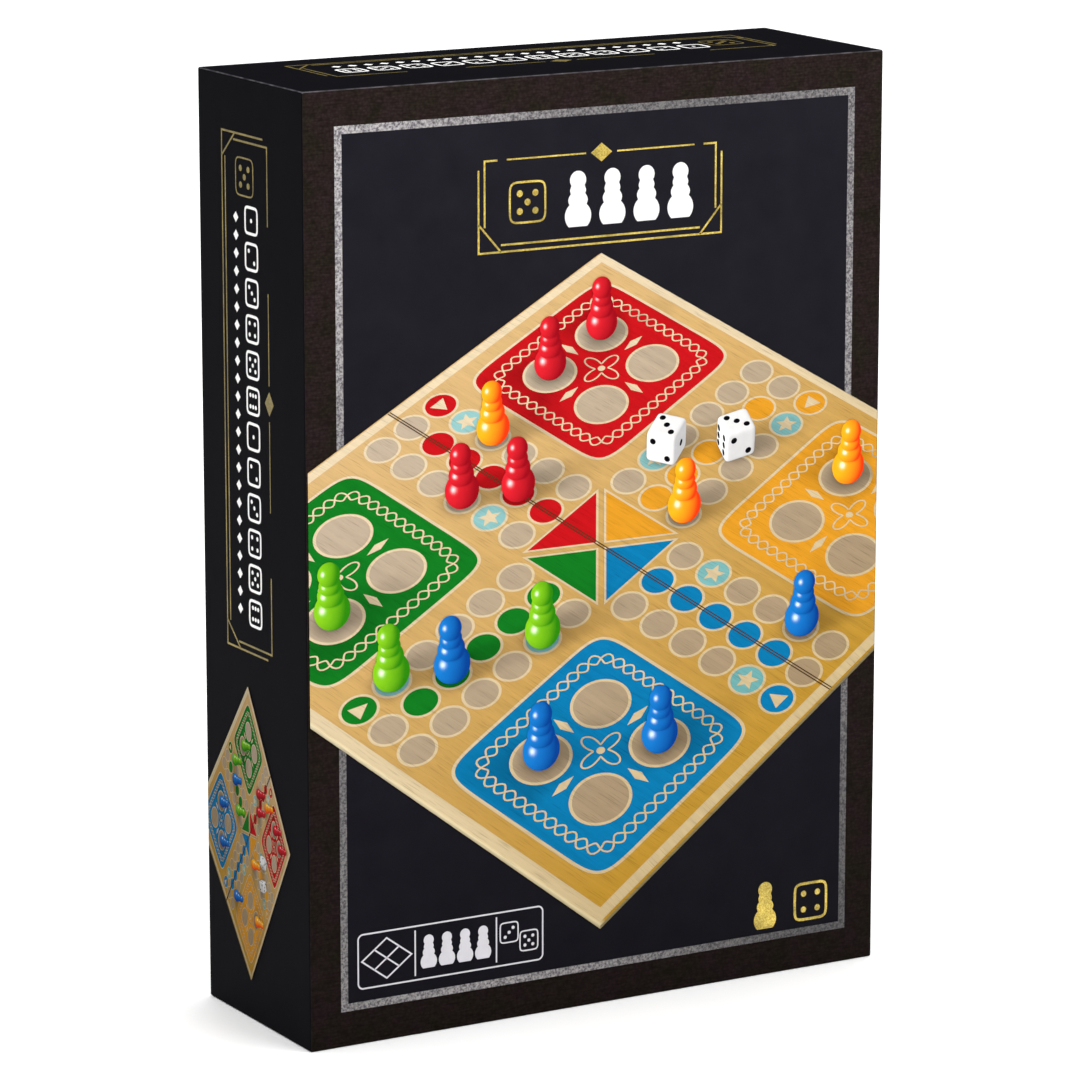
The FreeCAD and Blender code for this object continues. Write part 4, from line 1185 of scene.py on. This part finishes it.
def pictured_die(across, along, angle):
    """A die resting on the board with its pips: filled out sines and cosines of two angles give the body."""
    tilt = np.linspace(np.pi / 2, -np.pi / 2, num=33)[:, None]
    way = np.linspace(0, 2 * np.pi, num=65)
    flat = filled_out(np.cos(tilt))
    body = [flat * filled_out(np.cos(way)), flat * filled_out(np.sin(way)), filled_out(np.sin(tilt))]
    body = DIE_HALF * np.stack(np.broadcast_arrays(*body), -1)
    solids = [(body, "#b9b7b8", "#fbfaf7", FIGURE_LEVEL, DIE_GLOSS)]
    for count, out, along_face in DIE_FACES:
        ways = np.array([along_face, np.cross(out, along_face), out], float)
        facing = turn(ways[2], angle + PICTURE_TURN) @ EYE_WAY
        for pip in PIPS[count] if facing > 0 else []:
            outline = disc(DIE_PIP, np.array(pip) * DIE_PIP_STEP, steps=16)
            plate = coin(outline, top=DIE_HALF + DIE_PIP_RISE, bottom=DIE_HALF)
            solids.append((plate @ ways, "#0c0b0e", "#17151a", FIGURE_LEVEL + FILM, 0.0))
    shapes = []
    for grid, shaded, lit, level, gloss in solids:
        grid = turn(grid, angle) + (across * CELL, along * CELL, DIE_HALF)
        shapes.append(pictured(grid, linear(shaded), linear(lit), level, gloss))
    return shapes


figure_shapes = [pictured_pawn(*pawn) for pawn in PAWNS]
for die in DICE:
    figure_shapes += pictured_die(*die)
print(len(PAWNS), "pawns and", len(DICE), "dice pictured")

# %% [markdown]
# ## Laying the picture on the box
#
# The front shows the picture large: it runs over the frame and is cut off at both edges of the panel, as a
# full bleed is. Both long walls carry it small, turned to read along the wall and cut off at the open edge.
# On the walls the picture's inks are scaled darker than on the front: this is painted shade, as if the walls
# stood out of the lamps' main light.

# %% Picture on the lid
TRIM = 0.6 * MM
PICTURE_FOOT = 22.0
WALL_SHARE = 0.295
# Share of the picture's colour kept on the walls: painted shade.
WALL_SHADED_STRENGTH = 0.55
WALL_PICTURE_BACK = 4.0
WALL_PICTURE_MIDDLE = 54.0

picture_low = min(grid[..., 1].min() for grid, colour, pattern in board_shapes)
front_place = (0, PICTURE_FOOT - picture_low)
front_cuts = [((way * (LID_HIGH.x - TRIM), 0, 0), (way, 0, 0)) for way in (-1, 1)]
wall_cuts = [((0, LID_HIGH.y - TRIM, 0), (0, 1, 0))]
for name, shapes, ink in [("board", board_shapes, picture_ink), ("figures", figure_shapes, paper_ink)]:
    on_front = lay(shapes, FRONT, place=front_place)
    put_piece(f"front_picture_{name}", "lid", ink, on_front, front_cuts)
    for wall, side, way in [("left", LEFT, -1), ("right", RIGHT, 1)]:
        place = (way * WALL_PICTURE_BACK, WALL_PICTURE_MIDDLE)
        on_wall = lay(shapes, side, WALL_SHARE, 90 * way, place, WALL_SHADED_STRENGTH)
        put_piece(f"{wall}_picture_{name}", "lid", ink, on_wall, wall_cuts)

# %% [markdown]
# ## Frames and figures
#
# A silver line frames the front panel. Gold lines make a stepped frame with cut corners, of the kind that has
# been on card and game boxes since the 1920s. It holds a row of plain white pawns on the front, and on the
# walls a row of outlined die faces beside a row of small diamonds.

# %% Stepped frame and figures
LINE = 0.45
FRAME_LINE = 0.55
FRAME_STEP = 1.9
FRAME_CORNER = 7.0
FRAME_DROP = 2.4
FACE_PIP = 0.17
FACE_PIP_STEP = 0.44
RULE_GAP = 5.0
RULE_DIAMOND = 2.6
RULE_STRETCH = 1.3


def both_ways(path):
    """A path and its mirror image."""
    return [np.array(path, float), np.array(path, float) * (-1, 1)]


def stepped_frame(half, tall, stub):
    """Double line, open at the top: a plain outer line, an inner one with short returns, two cut corners."""
    upper, inner, corner = tall - FRAME_DROP, half - FRAME_STEP, half - FRAME_CORNER
    paths = [np.array([(-half, upper), (-half, 0), (half, 0), (half, upper)])]
    paths += both_ways([(inner - stub, tall), (inner, tall), (inner, FRAME_CORNER)])
    paths.append(np.array([(-corner, FRAME_STEP), (corner, FRAME_STEP)]))
    paths += both_ways([(half, FRAME_CORNER + FRAME_STEP / 2), (corner, 0)])
    return [stroke(path, FRAME_LINE) for path in paths]


def die_face(half, place, count, line=LINE):
    """Rounded outline with the pips of that count, whose size and step are shares of half the face."""
    grids = [stroke(squircle(half, power=6, steps=40) + place, line, closed=True)]
    for pip in PIPS[count]:
        grids.append(coin(disc(FACE_PIP * half, np.array(pip) * FACE_PIP_STEP * half + place, steps=16)))
    return grids


def rule_with_diamond(half, place):
    """A fine rule, broken in the middle by a diamond."""
    rules = [stroke(path + np.array(place), LINE) for path in both_ways([(RULE_GAP, 0), (half, 0)])]
    return rules + [coin(diamond(RULE_DIAMOND, place, RULE_STRETCH))]


print("a stepped frame has", len(stepped_frame(half=30, tall=20, stub=4)), "lines")

# %% Contents strip
STRIP_HALF = 29.5
STRIP_HALF_TALL = 7.8
STRIP_ROUND = 1.6
STRIP_RULES = (-11.5, 14.5)
STRIP_RULE_HALF = STRIP_HALF_TALL - 1.2
STRIP_BOARD = diamond(half=5.8, place=(-20.5, 0), stretch=1.35)
STRIP_PAWN = 9.6
STRIP_PAWNS = (-7.2, -1.4, 4.4, 10.2)
STRIP_DIE = 2.9
STRIP_DIE_LINE = 0.4
STRIP_DICE = {3: (18.6, 1.6), 5: (25.0, -1.6)}


def contents_strip():
    """A ruled box with the contents as figures: the open board, four pawns and two dice."""
    grids = [stroke(rounded_box(STRIP_HALF, STRIP_HALF_TALL, STRIP_ROUND), LINE, closed=True)]
    for place in STRIP_RULES:
        grids.append(stroke([(place, -STRIP_RULE_HALF), (place, STRIP_RULE_HALF)], LINE))
    grids.append(stroke(STRIP_BOARD, LINE, closed=True))
    for others in ([1, 3], [3, 1]):
        grids.append(stroke((STRIP_BOARD[::2] + STRIP_BOARD[others]) / 2, LINE))
    grids += [pawn_figure(STRIP_PAWN, (place, 0)) for place in STRIP_PAWNS]
    for count, place in STRIP_DICE.items():
        grids += die_face(STRIP_DIE, place, count, STRIP_DIE_LINE)
    return grids


print("a strip has", len(contents_strip()), "marks")

# %% Wall print
WALL_HALF = 72.3
WALL_TALL = 27.0
WALL_STUB = 0.3 * WALL_HALF
WALL_RULE = 0.42 * WALL_HALF
WALL_MARK = 5.2
WALL_MARK_INSET = 11.6
WALL_SPAN = (-0.68 * WALL_HALF, 0.84 * WALL_HALF)
WALL_DICE = 12
WALL_DIE = 3.6
WALL_DIE_LINE = 0.8
WALL_DIE_LEVEL = 0.64 * WALL_TALL
WALL_DIAMOND = 1.5
WALL_DIAMOND_LEVEL = 0.3 * WALL_TALL


def wall_print():
    """Print of a narrow wall, drawn to read along it: gold marks and white marks."""
    gold = stepped_frame(WALL_HALF, WALL_TALL, WALL_STUB) + rule_with_diamond(WALL_RULE, (0, WALL_TALL))
    gold += die_face(WALL_MARK, (WALL_MARK_INSET - WALL_HALF, WALL_TALL / 2), 5)
    white = []
    for count, place in enumerate(np.linspace(*WALL_SPAN, WALL_DICE)):
        white += die_face(WALL_DIE, (place, WALL_DIE_LEVEL), count % len(PIPS) + 1, WALL_DIE_LINE)
    for place in np.linspace(*WALL_SPAN, 2 * WALL_DICE - 1):
        white.append(coin(diamond(WALL_DIAMOND, (place, WALL_DIAMOND_LEVEL))))
    return gold, white


gold_wall, white_wall = wall_print()
print("a wall has", len(gold_wall), "gold marks and", len(white_wall), "white ones")

# %% [markdown]
# ## Silver frame
#
# Light runs along a foil line in gleams, because the sheet is never quite flat. Here the gleams are painted
# highlights in the ink's colour. The shader could make them from noise, but then they would fall anywhere.
# Here each point of the frame stores how bright it is.

# %% Silver frame
SILVER_BREADTH = 2.2
GLEAM_MEAN = 0.72
# How far the brightness swings, for each number of gleams on a round.
GLEAM_SWINGS = {3: 0.14, 1: 0.125}
SCREEN_CURVE = 2.2


def gleaming_frame(half_width, half_height, steps=16):
    """Closed frame from its upper left corner, and its painted brightness: a mean with three gleams and a
    slower one on each round, raised from screen tones to linear light."""
    corner = np.array([(-1, 1), (1, 1), (1, -1), (-1, -1), (-1, 1)]) * (half_width, half_height)
    share = np.arange(4 * steps + 1) / steps
    path = np.column_stack([np.interp(share, np.arange(5), corner[:, axis]) for axis in (0, 1)])
    swings = sum(swing * np.cos(count * share * np.pi / 2) for count, swing in GLEAM_SWINGS.items())
    bright = (GLEAM_MEAN + swings) ** SCREEN_CURVE
    grid = stroke(path[:-1], SILVER_BREADTH, closed=True)
    return grid, np.broadcast_to(bright[:, None, None], grid.shape), None


silver = gleaming_frame(FRAME_HALF_WIDTH / MM, FRAME_HALF_HEIGHT / MM)
put_piece("silver_frame", "lid", silver_ink,
          lay([silver], FRONT, place=(0, FRAME_MIDDLE / MM)))

# %% [markdown]
# ## Gold and white print
#
# On a press, each ink is one plate for the whole sheet, front and walls together. The pieces follow that: all
# the gold on the lid is one piece, and all the white another.

# %% Print on the front and walls
WHITE = "#f3f2f0"
HEAD_FOOT = 218.9
HEAD_HALF = 38.9
HEAD_TALL = 25.3
HEAD_STUB = 4.0
HEAD_RULE = 30.0
HEAD_PAWN = 15.5
HEAD_PAWNS = (-7.5, 3.5, 14.5, 25.5)
HEAD_PAWN_MIDDLE = 231.8
STRIP_PLACE = (-48.2, 23.7)
# Share of the gold's strength kept on the four walls: painted shade.
WALL_GOLD_SHADED = 0.36
# The walls: the side, how the drawing is turned, and where the middle of its foot line lies.
WALLS = [
    (LEFT, -90, (-16.5, 178.9)), (RIGHT, 90, (16.5, 178.9)),
    (TOP, 0, (-1.1, -19.5)), (FOOT, 0, (1.1, -19.5)),
]


def drawn(grids, side, angle=0.0, place=(0, 0), ink=WHITE, strength=1.0):
    """Turn drawn grids and set them on a side, in one ink: white stands for a full metal ink."""
    return lay([(grid, linear(ink), None) for grid in grids], side, 1.0, angle, place, strength)


head_frame = stepped_frame(HEAD_HALF, HEAD_TALL, HEAD_STUB)
head_die = die_face(half=5.6, place=(-23.5, 13.2), count=5, line=0.6)
head = head_frame + rule_with_diamond(HEAD_RULE, (0, HEAD_TALL)) + head_die
foot = [pawn_figure(tall=14, place=(55.6, 20.8))] + die_face(half=5.4, place=(71.2, 20.0), count=4, line=0.8)
gold = drawn(head, FRONT, place=(0, HEAD_FOOT)) + drawn(foot, FRONT)
white = drawn([pawn_figure(HEAD_PAWN, (place, HEAD_PAWN_MIDDLE)) for place in HEAD_PAWNS], FRONT)
white += drawn(contents_strip(), FRONT, place=STRIP_PLACE, ink="#d2d0d5")
for side, angle, place in WALLS:
    gold += drawn(gold_wall, side, angle, place, strength=WALL_GOLD_SHADED)
    white += drawn(white_wall, side, angle, place)
put_piece("gold_print", "lid", gold_ink, gold)
put_piece("white_print", "lid", paper_ink, white)

# %% [markdown]
# ## Back of the base and leaflet
#
# Nothing in the photograph shows these two. The underside of the base gets the plan of the game, seen
# straight from above, in a gold frame. The leaflet is a sheet of plain diagrams: the plan, rows of grey rules
# and the throws of the die.

# %% Print on the back
BACK_PLAN_SHARE = 0.54
BACK_PLAN_MIDDLE = 152.0
BACK_FRAME = rounded_box(half_along=82, half_across=123, radius=2.0) + (0, 133.4)
BACK_FRAME_LINE = 0.8
BACK_HEAD_FOOT = 36.0
BACK_PAWNS = (-22, -11, 0, 11, 22)
BACK_PAWN_MIDDLE = 49.0

plan_sheet = [(coin(squircle(BOARD_HALF, power=60, steps=96), bottom=-FILM), "wood")]
plan_sheet += [(grid + (0, 0, FILM), ink) for grid, ink in plan]
plan_shapes = inked(plan_sheet)
put_piece("back_plan", "base", picture_ink,
          lay(plan_shapes, BACK, BACK_PLAN_SHARE, place=(0, BACK_PLAN_MIDDLE)))
back_gold = drawn([stroke(BACK_FRAME, BACK_FRAME_LINE, closed=True)], BACK)
back_gold += drawn(head_frame, BACK, place=(0, BACK_HEAD_FOOT))
put_piece("back_gold_print", "base", gold_ink, back_gold)
back_pawns = [pawn_figure(HEAD_PAWN, (place, BACK_PAWN_MIDDLE)) for place in BACK_PAWNS]
put_piece("back_white_print", "base", paper_ink, drawn(back_pawns, BACK))

# %% Print on the leaflet
LEAFLET_PLAN_SHARE = 0.32
LEAFLET_PLAN_RISE = 38.0
RULES = 11
RULE_TOP = -12
RULE_STEP = 4
RULE_HALF = 44
RULE_RAG = 9
RULE_LINE = 1.3
THROW = 5
THROW_STEP = 15
THROW_LEVEL = -70
THROW_LINE = 0.6

leaflet = side_of("rules_leaflet", (1, 0, 0), (0, 0, 1))
leaf_low, leaf_high = (np.array(corner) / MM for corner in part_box("rules_leaflet"))
leaf_middle = (leaf_low + leaf_high)[[0, 2]] / 2
put_piece("leaflet_plan", "rules", picture_ink,
          lay(plan_shapes, leaflet, LEAFLET_PLAN_SHARE, place=leaf_middle + (0, LEAFLET_PLAN_RISE)))
leaf_marks = []
for count in range(RULES):
    level = RULE_TOP - RULE_STEP * count
    rule = [(-RULE_HALF, level), (RULE_HALF - RULE_RAG * (count % 3), level)]
    leaf_marks.append(stroke(rule, RULE_LINE))
for count in PIPS:
    place = (THROW_STEP * (count - np.mean(list(PIPS))), THROW_LEVEL)
    leaf_marks += die_face(THROW, place, count, THROW_LINE)
put_piece("leaflet_print", "rules", paper_ink,
          drawn(leaf_marks, leaflet, place=leaf_middle, ink="#6d6a66"))

# %% [markdown]
# ## Paint in the pips
#
# The pips of the dice are dished with a ball cutter and filled with black paint, which shrinks to a thin skin
# in each dish. Painting by place in the dice's own material would take a test for each of 42 dishes, so the
# paint is a piece: a shallow bowl that follows the ball and thins out towards its rim.

# %% Pip paint
PIP_BALL = 1.3
PIP_DEPTH = 0.45
PIP_STEP = 3.0
PIP_RIM = 0.95
SKIN_AT_RIM = 0.015
SKIN_SWELL = 0.08
SKIN_SUNK = 0.03


def pip_paint():
    """Bowl turned about its axis: a ball's surface below, and the same raised by a skin thin at the rim."""
    radius = np.linspace(0, PIP_RIM, num=5)
    dish = PIP_BALL - PIP_DEPTH - np.sqrt(PIP_BALL ** 2 - radius ** 2)
    skin = dish + SKIN_AT_RIM + SKIN_SWELL * (1 - (radius / PIP_RIM) ** 2)
    return turned(np.append(radius, radius[::-1]), np.append(skin, dish[::-1] - SKIN_SUNK), columns=14)


for name in ("die_1", "die_2"):
    low, high = (np.array(corner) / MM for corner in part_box(name))
    bowls = []
    for count, out, along in DIE_FACES:
        face = ((low + high) / 2 + np.array(out) * (high - low) / 2, along, np.cross(out, along), out)
        for pip in PIPS[count]:
            bowls.append((stand(pip_paint(), face, np.array(pip) * PIP_STEP), linear("#141316"), None))
    put_piece(f"{name}_pip_paint", name, paper_ink, bowls)

# %% [markdown]
# ## Size
#
# The print is films on the paper, so the finished box is as large as the CAD box to within a fraction of a
# millimetre. The CAD box is printed at the start, and here how much the finished box has grown.

# %% Size
low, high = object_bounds()
print("grown by, in mm:", [round(grown / MM, 3) for grown in (high - low) - (cad_high - cad_low)])
